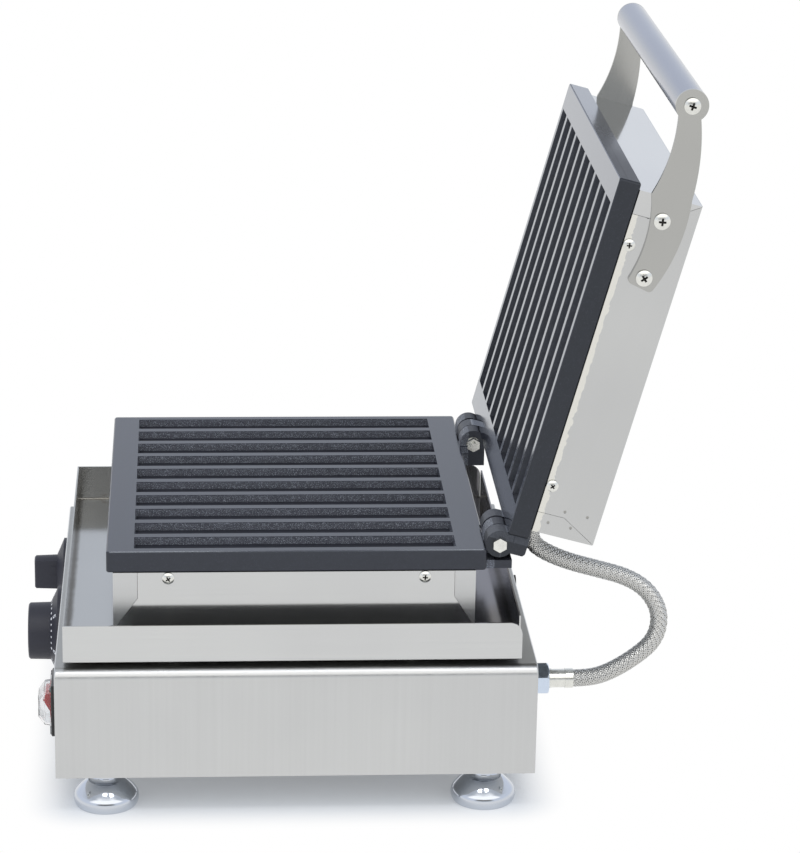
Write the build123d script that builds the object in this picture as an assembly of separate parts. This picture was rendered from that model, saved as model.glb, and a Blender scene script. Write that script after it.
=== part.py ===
from build123d import *
import os
from math import cos, radians, sin, sqrt, tan

# Contact grill with two ribbed cast plates, a hinged lid, a bar handle, a drip tray,
# a sheet-metal base with its controls, and a braided hose that carries the lid's wires.
#
# Everything is modelled in millimetres about the centre of the base, with the floor at
# z = 0, the controls towards -Y, the hinge towards +Y and +Z up.  The last section moves
# the whole assembly to its own frame, whose origin lies on the floor in the middle of
# the opened press.  The lid is drawn closed and then swung open about the hinge.

os.makedirs("parts", exist_ok=True)

# ---------------------------------------------------------------- fits
seat_gap = 0.3            # between a part and the face that it is hung on
seam_gap = 0.25           # open line between two folded sheets
screw_gap = 0.3           # radial room round a fastener in a plain hole
running_gap = 0.05        # radial room round a turning shaft or pin
press_gap = 0.02          # radial room of a part pushed on to its shaft

# ---------------------------------------------------------------- base
base_width = 370.0
base_length = 370.0
base_height = 89.0
base_sheet = 1.5
base_bend = 8.0           # outer radius of the folds along the two sides
base_corner = 1.2         # outer radius of the welded seams at the front and the back
flange_width = 14.0       # lip turned in round the open bottom
cover_sheet = 1.2
cover_inset = 4.0
slot_count = 7            # cooling slots in each bank of the bottom cover
slot_length = 60.0
slot_width = 4.0
slot_pitch = 12.0
cover_screw_inset = 8.5   # cover screws from the outside of the base

# ---------------------------------------------------------------- feet
# A foot's outline, as radii and heights above the floor, from its neck to its sole.
foot_height = 30.0
foot_neck_radius = 9.0
foot_neck_bottom = 23.5
foot_shoulder_radius = 13.8
foot_shoulder_height = 19.8
foot_bell_radius = 18.9
foot_bell_height = 15.8
foot_brim_radius = 23.2
foot_brim_height = 11.4
foot_radius = 25.4
foot_widest = 6.4
foot_sole_radius = 23.6
foot_inset_x = 24.0
foot_inset_y = 38.0
foot_bolt_radius = 4.0
foot_pocket_radius = 8.5
foot_pocket_depth = 15.0

# ---------------------------------------------------------------- drip tray
tray_width = 364.0
tray_length = 350.0
tray_inset = 7.0          # front wall behind the front of the base
tray_wall = 30.5
tray_sheet = 1.2
tray_lift = 5.0           # air gap between the tray and the base
tray_back_radius = 10.0   # rounded upper corners at the back of the side walls
tray_back_setback = 15.0  # open slot between the side walls and the back wall
spacer_radius = 9.0
sleeve_radius = 8.0       # conduit through the tray
sleeve_wall = 1.5
sleeve_collar = 12.0
sleeve_collar_height = 3.0
sleeve_x = 0.0
sleeve_y = 40.0

# ---------------------------------------------------------------- cast plates
plate_width = 322.0
plate_length = 290.0
plate_thickness = 16.7
plate_corner = 2.5
plate_edge = 0.8
channel_count = 10
channel_depth = 6.5
channel_draft = 7.0       # degrees
ridge_width = 7.5
front_rim = 21.0
back_rim = 23.0
closed_gap = 6.0          # between the ridges of the two plates with the lid down

# ---------------------------------------------------------------- hinge
hinge_back = 10.0         # hinge axis behind the plates
open_angle = 105.0
knuckle_radius = 10.8
knuckle_width = 15.0
knuckle_gap_near = 1.0
knuckle_gap_far = 3.0
knuckle_relief = 1.0      # room round a knuckle in the edge of the other plate
lower_lug_reach = 9.8     # back of the lower lugs, behind the hinge axis
upper_lug_reach = 5.5
upper_lug_pad = 1.6       # upper lugs stand this proud of the plate's back
lug_corner = 3.0
lug_root = 2.0            # how far a lug runs into its plate
hinge_shelf = 6.5         # thickness of the shelf below the knuckles
hinge_right_face = 157.0  # outer face of the right hinge
hinge_left_face = -80.0   # inner face of the left hinge
hinge_head_height = 4.0
hinge_head_flats = 10.0
hinge_washer = 1.6
hinge_washer_radius = 5.6
hinge_nut_height = 5.0
bolt_end = 3.0            # thread that shows beyond a nut

# ---------------------------------------------------------------- heater boxes
box_inset_front = 5.0     # box behind the front of its plate
box_inset_back = 8.0
box_sheet = 1.0
lower_box_depth = 46.5
upper_box_depth = 49.5
box_fold = 2.0
flap_front = 18.5         # length of the folded flaps of the front panel
flap_back = 16.0
flap_straight = 21.2      # upright part of a flap before it is cut off at a slant
box_screw_offset = 4.8    # below the plate's back
box_screw_inset = 47.0    # box screws from the ends of the plate
pillar_height = 18.1
pillar_radius = 7.0
pillar_inset_x = 51.0     # pillars from the sides of the plate
pillar_inset_y = 50.0

# ---------------------------------------------------------------- heating
element_radius = 4.0
element_bend = 30.0
element_inset_x = 41.0    # heating rod from the sides of the plate
element_inset_y = 35.0
element_rows = 4
clamp_sheet = 2.0
clamp_inset_x = 19.0      # clamp plate and board from the sides of the plate
clamp_inset_y = 23.0
insulation_thickness = 12.0
clamp_bolt_aside = 20.0   # clamp bolts from the inner runs of the heating rod
clamp_bolt_inset = 56.0   # clamp bolts from the ends of the clamp plate
boss_radius = 7.0
side_boss = 12.0
boss_tap = 5.0            # depth of the tapped holes in a plate
clamp_washer_radius = 10.0
clamp_washer = 1.2

# ---------------------------------------------------------------- handle
arm_sheet = 2.5
handle_radius = 12.4
handle_reach = 71.0       # middle of the handle bar in front of the lid's box
handle_rise = 18.0        # middle of the handle bar above the back of the upper plate
handle_thread = 22.0      # depth of the tapped holes in the bar
arm_screw_reach = (17.9, 62.9)  # screws behind the front of the lid's box
arm_screw_rise = 22.7
arm_tip_radius = 3.5

# The arm's two long edges, each as the ends and middles of two arcs: the distance behind
# the front of the lid's box and the height above the back of the upper plate.
arm_lower_edge = [(-63.0, 10.0), (-32.0, 13.5), (-0.5, 9.0), (29.2, 15.4), (69.0, 10.8)]
arm_upper_edge = [(73.0, 31.0), (35.0, 40.6), (-3.0, 39.6), (-33.0, 36.2), (-63.0, 27.5)]

# ---------------------------------------------------------------- controls
switch_inset = 44.5       # middle of the switch from the right side of the base
thermostat_inset = 47.5   # middle of the thermostat from the left side of the base
timer_x = -5.0
timer_grip_radius = 23.5
timer_skirt_radius = 36.5
timer_reach = 28.0        # front of the knob in front of the panel
timer_width = 44.0        # body behind the panel
timer_height = 44.0
timer_depth = 36.0
thermostat_skirt_radius = 29.0
thermostat_grip_radius = 15.0
thermostat_grip_width = 16.0
thermostat_reach = 29.2
thermostat_width = 36.0
thermostat_height = 46.0
thermostat_depth = 30.0
body_corner = 2.0
knob_stand = 0.8          # between a knob and the panel
skirt_edge = 4.0          # front of a skirt's rim, measured from the panel
skirt_top = 10.0          # where a grip rises from its skirt, measured from the panel
grip_edge = 1.2
groove_rises = (-8.0, 0.0, 8.0)
groove_width = 0.9
groove_depth = 0.5
shaft_radius = 3.0
shaft_reach = 22.0        # shaft in front of the panel
bush_radius = 5.0
bush_reach = 4.5          # bush in front of the panel
control_nut_height = 2.5
control_nut_flats = 14.0
nut_room = 10.0           # radius of the pocket in a knob that clears the nut
bezel_width = 36.0
bezel_height = 42.0
bezel_depth = 3.8
bezel_edge = 0.8
rocker_width = 20.0
rocker_height = 23.0
rocker_travel = 3.0       # room for the rocker's ends in the height of its window
rocker_pin = 1.5
rocker_pivot = 2.2        # pivot behind the panel's front
rocker_rise = 6.2
switch_wall = 1.5
switch_depth = 22.0
switch_well = 12.0        # depth of the hollow behind the rocker
tab_spacing = 12.0
tab_width = 4.8
tab_length = 8.0
tab_sheet = 0.8
splash_width = 26.0
splash_height = 30.0
splash_depth = 10.0
splash_wall = 0.8
splash_lip = 1.2          # lip inside the edge of the bezel

# ---------------------------------------------------------------- hose and cord outlet
hose_inset = 82.0         # hose and cord outlets from the sides of the base
hose_radius = 7.0
hose_stub_radius = 8.0
hose_nut_flats = 24.0
hose_nut_length = 17.4
hose_nut_turn = 6.0       # degrees that the nut stopped short of level
hose_nut_edge = 2.0
hose_locknut_flats = 27.0
hose_locknut_height = 5.0
ferrule_radius = 7.8
ferrule_waist_radius = 7.4
ferrule_groove_radius = 6.9
ferrule_length = 19.6
ferrule_collar = 2.6      # length of the raised collar at the nut
ferrule_band = 6.4        # length of the crimped band at the hose
ferrule_groove = 0.8
hose_rise = 10.8          # middle of the lid's hose hole above the back of the upper plate
lid_fitting_length = 7.5
lid_fitting_flange = 2.0
lid_fitting_flange_radius = 10.0
lid_locknut_flats = 19.0
cord_bore = 4.5
cord_flange_radius = 11.0
cord_flange = 3.0
cord_neck_radius = 8.0
cord_nose_radius = 7.0
cord_nose = 12.0
terminal_x = -63.0
terminal_y = 110.0
terminal_length = 60.0
terminal_width = 22.0
terminal_height = 18.0
terminal_hole_radius = 3.0
terminal_pitch = 10.0

hose_base_lead = 14.0     # straight run out of the base's ferrule
hose_lid_lead = 12.0      # straight run out of the lid's fitting

# Hand-chosen turns of the hose in its upright plane, from the base to the lid: y and the
# height above the hose's outlet.
hose_turns = [
    (252.0, 5.5), (271.0, 17.5), (287.0, 32.5), (290.5, 54.5), (280.0, 74.5),
    (262.0, 86.5), (238.0, 93.3), (215.0, 99.7), (196.0, 108.0), (186.5, 115.5),
]

# ---------------------------------------------------------------- fasteners
m4 = 2.0                  # shank radii
m5 = 2.5
m6 = 3.0
cover_head_radius = 3.8
cover_head_height = 2.4
box_head_radius = 4.6
box_head_height = 3.0
arm_head_radius = 6.2
arm_head_height = 3.4
screw_run = 6.0           # screw beyond the sheet that it holds
clamp_nut_flats = 8.0
clamp_nut_height = 4.0
pillar_nut_flats = 10.0
pillar_head_height = 4.0
pillar_nut_height = 5.0
foot_nut_flats = 13.0
foot_head_height = 5.3
foot_nut_height = 6.5

# ---------------------------------------------------------------- levels and places
base_bottom = foot_height + cover_sheet
base_top = base_bottom + base_height
tray_bottom = base_top + tray_lift
tray_floor = tray_bottom + tray_sheet
tray_top = tray_bottom + tray_wall
tray_front = -base_length / 2 + tray_inset
tray_back = tray_front + tray_length
lower_box_bottom = tray_floor + pillar_height
lower_plate_back = lower_box_bottom + lower_box_depth
plate_top = lower_plate_back + plate_thickness
hinge_y = plate_length / 2 + hinge_back
hinge_z = plate_top + closed_gap / 2
upper_plate_face = plate_top + closed_gap
upper_plate_back = upper_plate_face + plate_thickness
half_width = plate_width / 2
box_front = -plate_length / 2 + box_inset_front
box_back = plate_length / 2 - box_inset_back
panel_front = -base_length / 2
panel_inside = panel_front + base_sheet
back_face = base_length / 2
back_inside = back_face - base_sheet
roof_inside = base_top - base_sheet
foot_x = base_width / 2 - foot_inset_x
foot_y = base_length / 2 - foot_inset_y
channel_pitch = (plate_width - ridge_width) / channel_count
channel_width = channel_pitch - ridge_width
channel_length = plate_length - front_rim - back_rim
channel_middle = (front_rim - back_rim) / 2
handle_y = box_front - handle_reach
handle_z = upper_plate_back + handle_rise
arm_screw_y = [box_front + reach for reach in arm_screw_reach]
lid_hose_z = upper_plate_back + hose_rise
control_z = (base_bottom + base_top) / 2
switch_x = base_width / 2 - switch_inset
thermostat_x = -base_width / 2 + thermostat_inset
window_height = rocker_height + rocker_travel
hose_x = base_width / 2 - hose_inset
hose_z = control_z
cord_x = -base_width / 2 + hose_inset
cover_screw_line = base_width / 2 - cover_screw_inset
cover_screw_row = base_length / 2 - cover_screw_inset
box_screw_y = plate_length / 2 - box_screw_inset
pillar_x = half_width - pillar_inset_x
pillar_y = plate_length / 2 - pillar_inset_y
element_half_width = half_width - element_inset_x
element_half_length = plate_length / 2 - element_inset_y
clamp_half_width = half_width - clamp_inset_x
clamp_half_length = plate_length / 2 - clamp_inset_y
clamp_bolt_x = element_half_width / (element_rows - 1) + clamp_bolt_aside
clamp_bolt_y = clamp_half_length - clamp_bolt_inset
pillar_places = [(x, y) for x in (-pillar_x, pillar_x) for y in (-pillar_y, pillar_y)]
foot_places = [(x, y) for x in (-foot_x, foot_x) for y in (-foot_y, foot_y)]
clamp_places = [(x, y) for x in (-clamp_bolt_x, clamp_bolt_x) for y in (-clamp_bolt_y, clamp_bolt_y)]
cover_screw_places = (
    [(x, y) for x in (-cover_screw_line, cover_screw_line) for y in (-cover_screw_row, 0, cover_screw_row)]
    + [(0, y) for y in (-cover_screw_row, cover_screw_row)]
)

# Each hinge is three knuckles, given by the X of their lower and upper faces.
def knuckles(face):
    """X ranges of a hinge's three knuckles, from its +X face inwards."""
    first = (face - knuckle_width, face)
    second_face = first[0] - knuckle_gap_near
    second = (second_face - knuckle_width, second_face)
    third_face = second[0] - knuckle_gap_far
    return first, second, (third_face - knuckle_width, third_face)


right_knuckles = knuckles(hinge_right_face)
left_knuckles = knuckles(hinge_left_face)
lower_knuckles = [right_knuckles[1], left_knuckles[0], left_knuckles[2]]
upper_knuckles = [right_knuckles[0], right_knuckles[2], left_knuckles[1]]


# ---------------------------------------------------------------- small helpers
def block(x0, x1, y0, y1, z0, z1):
    """A box between two corners."""
    return Pos((x0 + x1) / 2, (y0 + y1) / 2, (z0 + z1) / 2) * Box(x1 - x0, y1 - y0, z1 - z0)


def rod(radius, start, end):
    """A cylinder between two points on a line along X, Y or Z."""
    a, b = Vector(*start), Vector(*end)
    plane = Plane(origin=start, z_dir=(b - a).normalized())
    return extrude(plane * Circle(radius), amount=(b - a).length)


def hexagon(flats, start, end, turn=0.0):
    """A hexagonal bar between two points, as for a nut or a bolt head."""
    a, b = Vector(*start), Vector(*end)
    plane = Plane(origin=start, z_dir=(b - a).normalized())
    outline = RegularPolygon(flats / 2, 6, major_radius=False, rotation=turn)
    return extrude(plane * outline, amount=(b - a).length)


def tube_between(outer, inner, start, end):
    """A round tube between two points."""
    return rod(outer, start, end) - rod(inner, start, end)


def pan_screw(head_radius, head_height, shank_radius, length, seat, outwards):
    """A screw with a domed head seated on seat and standing out along outwards."""
    rim = head_height * 0.45
    rise = head_height - rim
    dome = (head_radius ** 2 + rise ** 2) / (2 * rise)
    shoulder = head_height - dome + sqrt(dome ** 2 - (head_radius / 2) ** 2)
    profile = make_face([
        Line((0, -length), (shank_radius, -length)),
        Line((shank_radius, -length), (shank_radius, 0)),
        Line((shank_radius, 0), (head_radius, 0)),
        Line((head_radius, 0), (head_radius, rim)),
        ThreePointArc((head_radius, rim), (head_radius / 2, shoulder), (0, head_height)),
        Line((0, head_height), (0, -length)),
    ])
    return Plane(origin=seat, z_dir=outwards) * revolve(Plane.XZ * profile, Axis.Z)


def group(solids):
    """Several separate solids in one node."""
    return Compound(children=list(solids))


def opened(shape):
    """Swing a piece that is drawn with the lid closed to where it is with the lid open."""
    swing = Pos(0, hinge_y, hinge_z) * Rot(-open_angle, 0, 0) * Pos(0, -hinge_y, -hinge_z)
    return swing * shape


# ---------------------------------------------------------------- base pieces
def make_base_housing():
    """The box of the base: folded along its sides, welded along its ends, open below."""
    outside = block(-base_width / 2, base_width / 2, -base_length / 2, base_length / 2,
                    base_bottom, base_top)
    outside = fillet(outside.edges().filter_by(Axis.Y).group_by(Axis.Z)[-1], base_bend)
    for end in (0, -1):
        seam = outside.faces().sort_by(Axis.Y)[end].edges().sort_by(Axis.Z)[1:]
        outside = fillet(seam, base_corner)
    inside = block(-base_width / 2 + base_sheet, base_width / 2 - base_sheet,
                   panel_inside, back_inside, base_bottom + base_sheet, roof_inside)
    inside = fillet(inside.edges().filter_by(Axis.Y).group_by(Axis.Z)[-1], base_bend - base_sheet)
    mouth = block(-base_width / 2 + flange_width, base_width / 2 - flange_width,
                  -base_length / 2 + flange_width, base_length / 2 - flange_width,
                  base_bottom, base_bottom + base_sheet)
    body = outside - inside - mouth
    for x in (timer_x, thermostat_x):
        body -= rod(bush_radius + screw_gap, (x, panel_front - 1, control_z), (x, panel_inside + 1, control_z))
    body -= block(switch_x - rocker_width / 2 - switch_wall - screw_gap,
                  switch_x + rocker_width / 2 + switch_wall + screw_gap,
                  panel_front - 1, panel_inside + 1,
                  control_z - window_height / 2 - switch_wall - screw_gap,
                  control_z + window_height / 2 + switch_wall + screw_gap)
    for x, z, radius in ((hose_x, hose_z, hose_stub_radius), (cord_x, hose_z, cord_neck_radius)):
        body -= rod(radius + screw_gap, (x, back_inside - 1, z), (x, back_face + 1, z))
    for x, y in pillar_places:
        body -= rod(m6 + screw_gap, (x, y, roof_inside - 1), (x, y, base_top + 1))
    body -= rod(sleeve_radius + screw_gap, (sleeve_x, sleeve_y, roof_inside - 1), (sleeve_x, sleeve_y, base_top + 1))
    for x, y in cover_screw_places:
        body -= rod(m4 + screw_gap, (x, y, base_bottom - 1), (x, y, base_bottom + base_sheet + 1))
    return body


def make_bottom_cover():
    cover = block(-base_width / 2 + cover_inset, base_width / 2 - cover_inset,
                  -base_length / 2 + cover_inset, base_length / 2 - cover_inset,
                  foot_height, base_bottom)
    cover = fillet(cover.edges().filter_by(Axis.Z), base_corner)
    for x, y in foot_places:
        cover -= rod(foot_bolt_radius + screw_gap, (x, y, foot_height - 1), (x, y, base_bottom + 1))
    for x, y in cover_screw_places:
        cover -= rod(m4 + screw_gap, (x, y, foot_height - 1), (x, y, base_bottom + 1))
    slot = Box(slot_length, slot_width, cover_sheet * 3)
    for x in (-slot_length, slot_length):
        bank = Pos(x, 0, foot_height) * GridLocations(0, slot_pitch, 1, slot_count)
        cover -= [place * slot for place in bank]
    return cover


def make_cover_screws():
    length = cover_sheet + base_sheet + bolt_end
    return group(pan_screw(cover_head_radius, cover_head_height, m4, length, (x, y, foot_height), (0, 0, -1))
                 for x, y in cover_screw_places)


def make_foot(x, y):
    """A chromed bell-shaped foot with a narrow neck and a pocket for its bolt's head."""
    neck, bore = foot_neck_radius, foot_bolt_radius + screw_gap
    throat = foot_neck_bottom - (foot_neck_bottom - foot_shoulder_height) * 0.7
    outline = make_face([
        Line((bore, foot_height), (neck, foot_height)),
        Line((neck, foot_height), (neck, foot_neck_bottom)),
        ThreePointArc((neck, foot_neck_bottom), (neck + (foot_shoulder_radius - neck) * 0.3, throat),
                      (foot_shoulder_radius, foot_shoulder_height)),
        ThreePointArc((foot_shoulder_radius, foot_shoulder_height), (foot_bell_radius, foot_bell_height),
                      (foot_brim_radius, foot_brim_height)),
        ThreePointArc((foot_brim_radius, foot_brim_height), (foot_radius, foot_widest), (foot_sole_radius, 0)),
        Line((foot_sole_radius, 0), (foot_pocket_radius, 0)),
        Line((foot_pocket_radius, 0), (foot_pocket_radius, foot_pocket_depth)),
        Line((foot_pocket_radius, foot_pocket_depth), (bore, foot_pocket_depth)),
        Line((bore, foot_pocket_depth), (bore, foot_height)),
    ])
    return Pos(x, y, 0) * revolve(Plane.XZ * outline, Axis.Z)


def make_foot_bolts():
    bolts = []
    for x, y in foot_places:
        head = hexagon(foot_nut_flats, (x, y, foot_pocket_depth - foot_head_height), (x, y, foot_pocket_depth))
        shank = rod(foot_bolt_radius, (x, y, foot_pocket_depth), (x, y, base_bottom + foot_nut_height + bolt_end))
        bolts.append(head + shank)
    return group(bolts)


def make_foot_nuts():
    return group(
        hexagon(foot_nut_flats, (x, y, base_bottom), (x, y, base_bottom + foot_nut_height))
        - rod(foot_bolt_radius + press_gap, (x, y, base_bottom), (x, y, base_bottom + foot_nut_height))
        for x, y in foot_places
    )


# ---------------------------------------------------------------- tray pieces
def make_drip_tray():
    half = tray_width / 2
    channel = block(-half, half, tray_front, tray_back, tray_bottom, tray_top)
    channel = fillet(channel.edges().filter_by(Axis.Y).group_by(Axis.Z)[0], tray_sheet * 2)
    hollow = block(-half + tray_sheet, half - tray_sheet, tray_front - 1, tray_back + 1,
                   tray_floor, tray_top + 1)
    hollow = fillet(hollow.edges().filter_by(Axis.Y).group_by(Axis.Z)[0], tray_sheet)
    tray = channel - hollow
    corners = tray.edges().filter_by(Axis.X).group_by(Axis.Z)[-1].group_by(Axis.Y)[-1]
    tray = fillet(corners, tray_back_radius)
    front = block(-half + tray_sheet, half - tray_sheet, tray_front, tray_front + tray_sheet, tray_floor, tray_top)
    front -= block(-half, half, tray_front - 1, tray_front + 2, tray_floor - 1, tray_floor)
    back_half = half - tray_back_setback
    back = block(-back_half, back_half, tray_back - tray_sheet, tray_back, tray_floor, tray_top)
    tray = tray + front + back
    for x, y in pillar_places:
        tray -= rod(m6 + screw_gap, (x, y, tray_bottom - 1), (x, y, tray_floor + 1))
    tray -= rod(sleeve_radius + screw_gap, (sleeve_x, sleeve_y, tray_bottom - 1), (sleeve_x, sleeve_y, tray_floor + 1))
    return tray


def make_tray_spacers():
    return group(tube_between(spacer_radius, m6 + screw_gap, (x, y, base_top), (x, y, tray_bottom))
                 for x, y in pillar_places)


def make_plate_pillars():
    return group(tube_between(pillar_radius, m6 + screw_gap, (x, y, tray_floor), (x, y, lower_box_bottom))
                 for x, y in pillar_places)


def make_pillar_bolts():
    bolts = []
    for x, y in pillar_places:
        seat = lower_box_bottom + box_sheet
        head = hexagon(pillar_nut_flats, (x, y, seat), (x, y, seat + pillar_head_height))
        bolts.append(head + rod(m6, (x, y, roof_inside - pillar_nut_height - bolt_end), (x, y, seat)))
    return group(bolts)


def make_pillar_nuts():
    return group(
        hexagon(pillar_nut_flats, (x, y, roof_inside - pillar_nut_height), (x, y, roof_inside))
        - rod(m6 + press_gap, (x, y, roof_inside - pillar_nut_height), (x, y, roof_inside))
        for x, y in pillar_places
    )


def make_cable_sleeve():
    """Conduit that takes the lower heater's wires up through the tray, with a collar on its floor."""
    bottom = roof_inside - 8.0
    top = lower_box_bottom + box_sheet + 6.0
    sleeve = rod(sleeve_radius, (sleeve_x, sleeve_y, bottom), (sleeve_x, sleeve_y, top))
    sleeve += rod(sleeve_collar, (sleeve_x, sleeve_y, tray_floor), (sleeve_x, sleeve_y, tray_floor + sleeve_collar_height))
    return sleeve - rod(sleeve_radius - sleeve_wall, (sleeve_x, sleeve_y, bottom), (sleeve_x, sleeve_y, top))


# ---------------------------------------------------------------- cast plates
def make_lug(x0, x1, reach, pad):
    """A hinge lug, drawn for a plate whose cooking face is at z = 0 and faces up."""
    axis_z = closed_gap / 2
    root, back, under = plate_length / 2 - lug_root, hinge_y + reach, -plate_thickness - pad
    web = make_face(Polyline(
        (root, under), (back, under), (back, axis_z), (hinge_y - knuckle_radius, axis_z),
        (hinge_y - knuckle_radius, 0), (root, 0), close=True))
    web = fillet(web.vertices().sort_by(Axis.Y)[:2].sort_by(Axis.X)[-1], lug_corner)
    side = Plane(origin=(x0, 0, 0), x_dir=(0, 1, 0), z_dir=(1, 0, 0))
    lug = extrude(side * web, amount=x1 - x0)
    return lug + rod(knuckle_radius, (x0, hinge_y, axis_z), (x1, hinge_y, axis_z))


def make_plate(own, other, face_z, reach, pad, turned):
    """A ribbed plate with its hinge lugs: own and other are X ranges of knuckles."""
    def across(span):
        return (-span[1], -span[0]) if turned else span

    half = plate_length / 2
    slab = block(-half_width, half_width, -half, half, -plate_thickness, 0)
    slab = fillet(slab.edges().filter_by(Axis.Z), plate_corner)
    slab = chamfer(slab.faces().sort_by(Axis.Z)[-1].edges(), plate_edge)
    slab = chamfer(slab.faces().sort_by(Axis.Z)[0].edges(), plate_edge)
    channel = extrude(Rectangle(channel_width, channel_length), amount=-channel_depth, taper=channel_draft)
    rows = Pos(0, channel_middle, 0) * GridLocations(channel_pitch, 0, channel_count, 1)
    slab -= [place * channel for place in rows]
    for group_of in (right_knuckles, left_knuckles):
        shelf_end, shelf_start = group_of[0][1], group_of[2][0]
        x0, x1 = across((shelf_start, shelf_end))
        slab += block(x0, x1, half - lug_root, hinge_y + reach, -plate_thickness, -plate_thickness + hinge_shelf)
    for span in other:
        x0, x1 = across(span)
        slab -= rod(knuckle_radius + knuckle_relief, (x0 - knuckle_gap_near * 0.8, hinge_y, closed_gap / 2),
                    (x1 + knuckle_gap_near * 0.8, hinge_y, closed_gap / 2))
    for span in own:
        slab += make_lug(*across(span), reach, pad)
    for group_of in (right_knuckles, left_knuckles):
        x0, x1 = across((group_of[2][0], group_of[0][1]))
        slab -= rod(m6 + running_gap, (x0 - 1, hinge_y, closed_gap / 2), (x1 + 1, hinge_y, closed_gap / 2))
    element_room = element_radius * 2 + seat_gap
    for x, y in clamp_places:
        slab += tube_between(boss_radius, m5, (x, y, -plate_thickness - element_room), (x, y, -plate_thickness))
        slab -= rod(m5, (x, y, -plate_thickness), (x, y, -plate_thickness + boss_tap))
    inner = half_width - box_sheet - seat_gap
    for sign in (-1, 1):
        for y in (-box_screw_y, box_screw_y):
            x0, x1 = sorted((sign * (inner - side_boss), sign * inner))
            boss = block(x0, x1, y - side_boss / 2, y + side_boss / 2,
                         -plate_thickness - side_boss + 2, -plate_thickness)
            screw_z = -plate_thickness - box_screw_offset
            slab += boss - rod(m5, (x0 - 1, y, screw_z), (x1 + 1, y, screw_z))
    return Pos(0, 0, face_z) * (Rot(0, 180, 0) * slab if turned else slab)


# ---------------------------------------------------------------- heater boxes
# A box is drawn with the plate's back at z = 0 and the box standing up from it, and is
# then set on the upper plate, or turned over and hung below the lower one.
def set_box(shape, lower):
    if lower:
        return Pos(0, 0, lower_plate_back) * (Rot(0, 180, 0) * shape)
    return Pos(0, 0, upper_plate_back) * shape


def flap_outline(end, length, depth, margin):
    """The flap's outline on the side of the box, in y and z; end is the panel's outer face."""
    inwards = 1 if end < 0 else -1
    straight = end + inwards * (length + margin)
    corner = depth + margin * 2
    return make_face(Polyline(
        (end - inwards * margin * 4, seat_gap - margin * 2), (straight, seat_gap - margin * 2),
        (straight, flap_straight), (end, corner), (end - inwards * margin * 4, corner), close=True)
        if margin else
        Polyline((end, seat_gap), (straight, seat_gap), (straight, flap_straight), (end, depth), close=True))


def flap_solids(end, length, depth, margin):
    side = Plane(origin=(half_width - box_sheet, 0, 0), x_dir=(0, 1, 0), z_dir=(1, 0, 0))
    flap = extrude(side * flap_outline(end, length, depth, margin), amount=box_sheet)
    return [flap, mirror(flap, Plane.YZ)]


def arm_screw_holes():
    """Where the handle's screws pass through the sides of the lid's box and its flaps."""
    return [rod(m5 + screw_gap, (-half_width - 1, y, arm_screw_rise), (half_width + 1, y, arm_screw_rise))
            for y in arm_screw_y]


def make_box_shell(depth, lower):
    outside = block(-half_width, half_width, box_front, box_back, seat_gap, depth)
    outside = fillet(outside.edges().filter_by(Axis.Y).group_by(Axis.Z)[-1], box_fold)
    inner = half_width - box_sheet
    inside = block(-inner, inner, box_front - 1, box_back + 1, 0, depth - box_sheet)
    inside = fillet(inside.edges().filter_by(Axis.Y).group_by(Axis.Z)[-1], box_fold - box_sheet)
    shell = outside - inside
    shell -= flap_solids(box_front, flap_front, depth, seam_gap)
    shell -= flap_solids(box_back, flap_back, depth, seam_gap)
    for y in (-box_screw_y, box_screw_y):
        shell -= rod(m5 + screw_gap, (-half_width - 1, y, box_screw_offset), (half_width + 1, y, box_screw_offset))
    if lower:
        for x, y in pillar_places:
            shell -= rod(m6 + screw_gap, (x, y, depth - box_sheet - 1), (x, y, depth + 1))
        shell -= rod(sleeve_radius + screw_gap, (-sleeve_x, sleeve_y, depth - box_sheet - 1),
                     (-sleeve_x, sleeve_y, depth + 1))
    else:
        shell -= arm_screw_holes()
    return set_box(shell, lower)


def make_end_panel(end, length, depth, lower):
    """An end wall with two flaps that are folded round over the box's sides."""
    inwards = 1 if end < 0 else -1
    y0, y1 = sorted((end, end + inwards * box_sheet))
    inner = half_width - box_sheet
    top = depth - box_sheet
    wall = block(-inner, inner, y0, y1, seat_gap, top)
    wall = fillet(wall.edges().filter_by(Axis.Y).group_by(Axis.Z)[-1], box_fold - box_sheet)
    panel = wall
    for flap in flap_solids(end, length, depth, 0):
        panel += flap - block(-half_width, half_width, box_front, box_back, top, depth)
    if not lower and end == box_back:
        panel -= rod(hose_stub_radius + screw_gap, (hose_x, end - 2, hose_rise), (hose_x, end + 2, hose_rise))
    if not lower and end == box_front:
        panel -= arm_screw_holes()
    return set_box(panel, lower)


def make_box_screws(lower):
    places = [(sign, y) for sign in (-1, 1) for y in (-box_screw_y, box_screw_y)]
    return set_box(group(
        pan_screw(box_head_radius, box_head_height, m5 - press_gap, side_boss - box_sheet,
                  (sign * half_width, y, box_screw_offset), (sign, 0, 0))
        for sign, y in places), lower)


def make_element(lower):
    """A tubular element bent to and fro across the back of the plate."""
    height = seat_gap + element_radius
    step = 2 * element_half_width / (element_rows - 1)
    points = []
    for row in range(element_rows):
        x = -element_half_width + row * step
        ends = (-element_half_length, element_half_length)
        first, last = ends if row % 2 == 0 else ends[::-1]
        points += [(x, first, height), (x, last, height)]
    path = FilletPolyline(*points, radius=min(element_bend, step / 2 - 0.5))
    start = Plane(origin=path @ 0, z_dir=path % 0)
    return set_box(sweep(start * Circle(element_radius), path=path), lower)


def make_clamp_plate(lower):
    z0 = element_radius * 2 + seat_gap
    plate = block(-clamp_half_width, clamp_half_width, -clamp_half_length, clamp_half_length, z0, z0 + clamp_sheet)
    for x, y in clamp_places:
        plate -= rod(m5 + screw_gap, (x, y, z0 - 1), (x, y, z0 + clamp_sheet + 1))
    return set_box(plate, lower)


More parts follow.
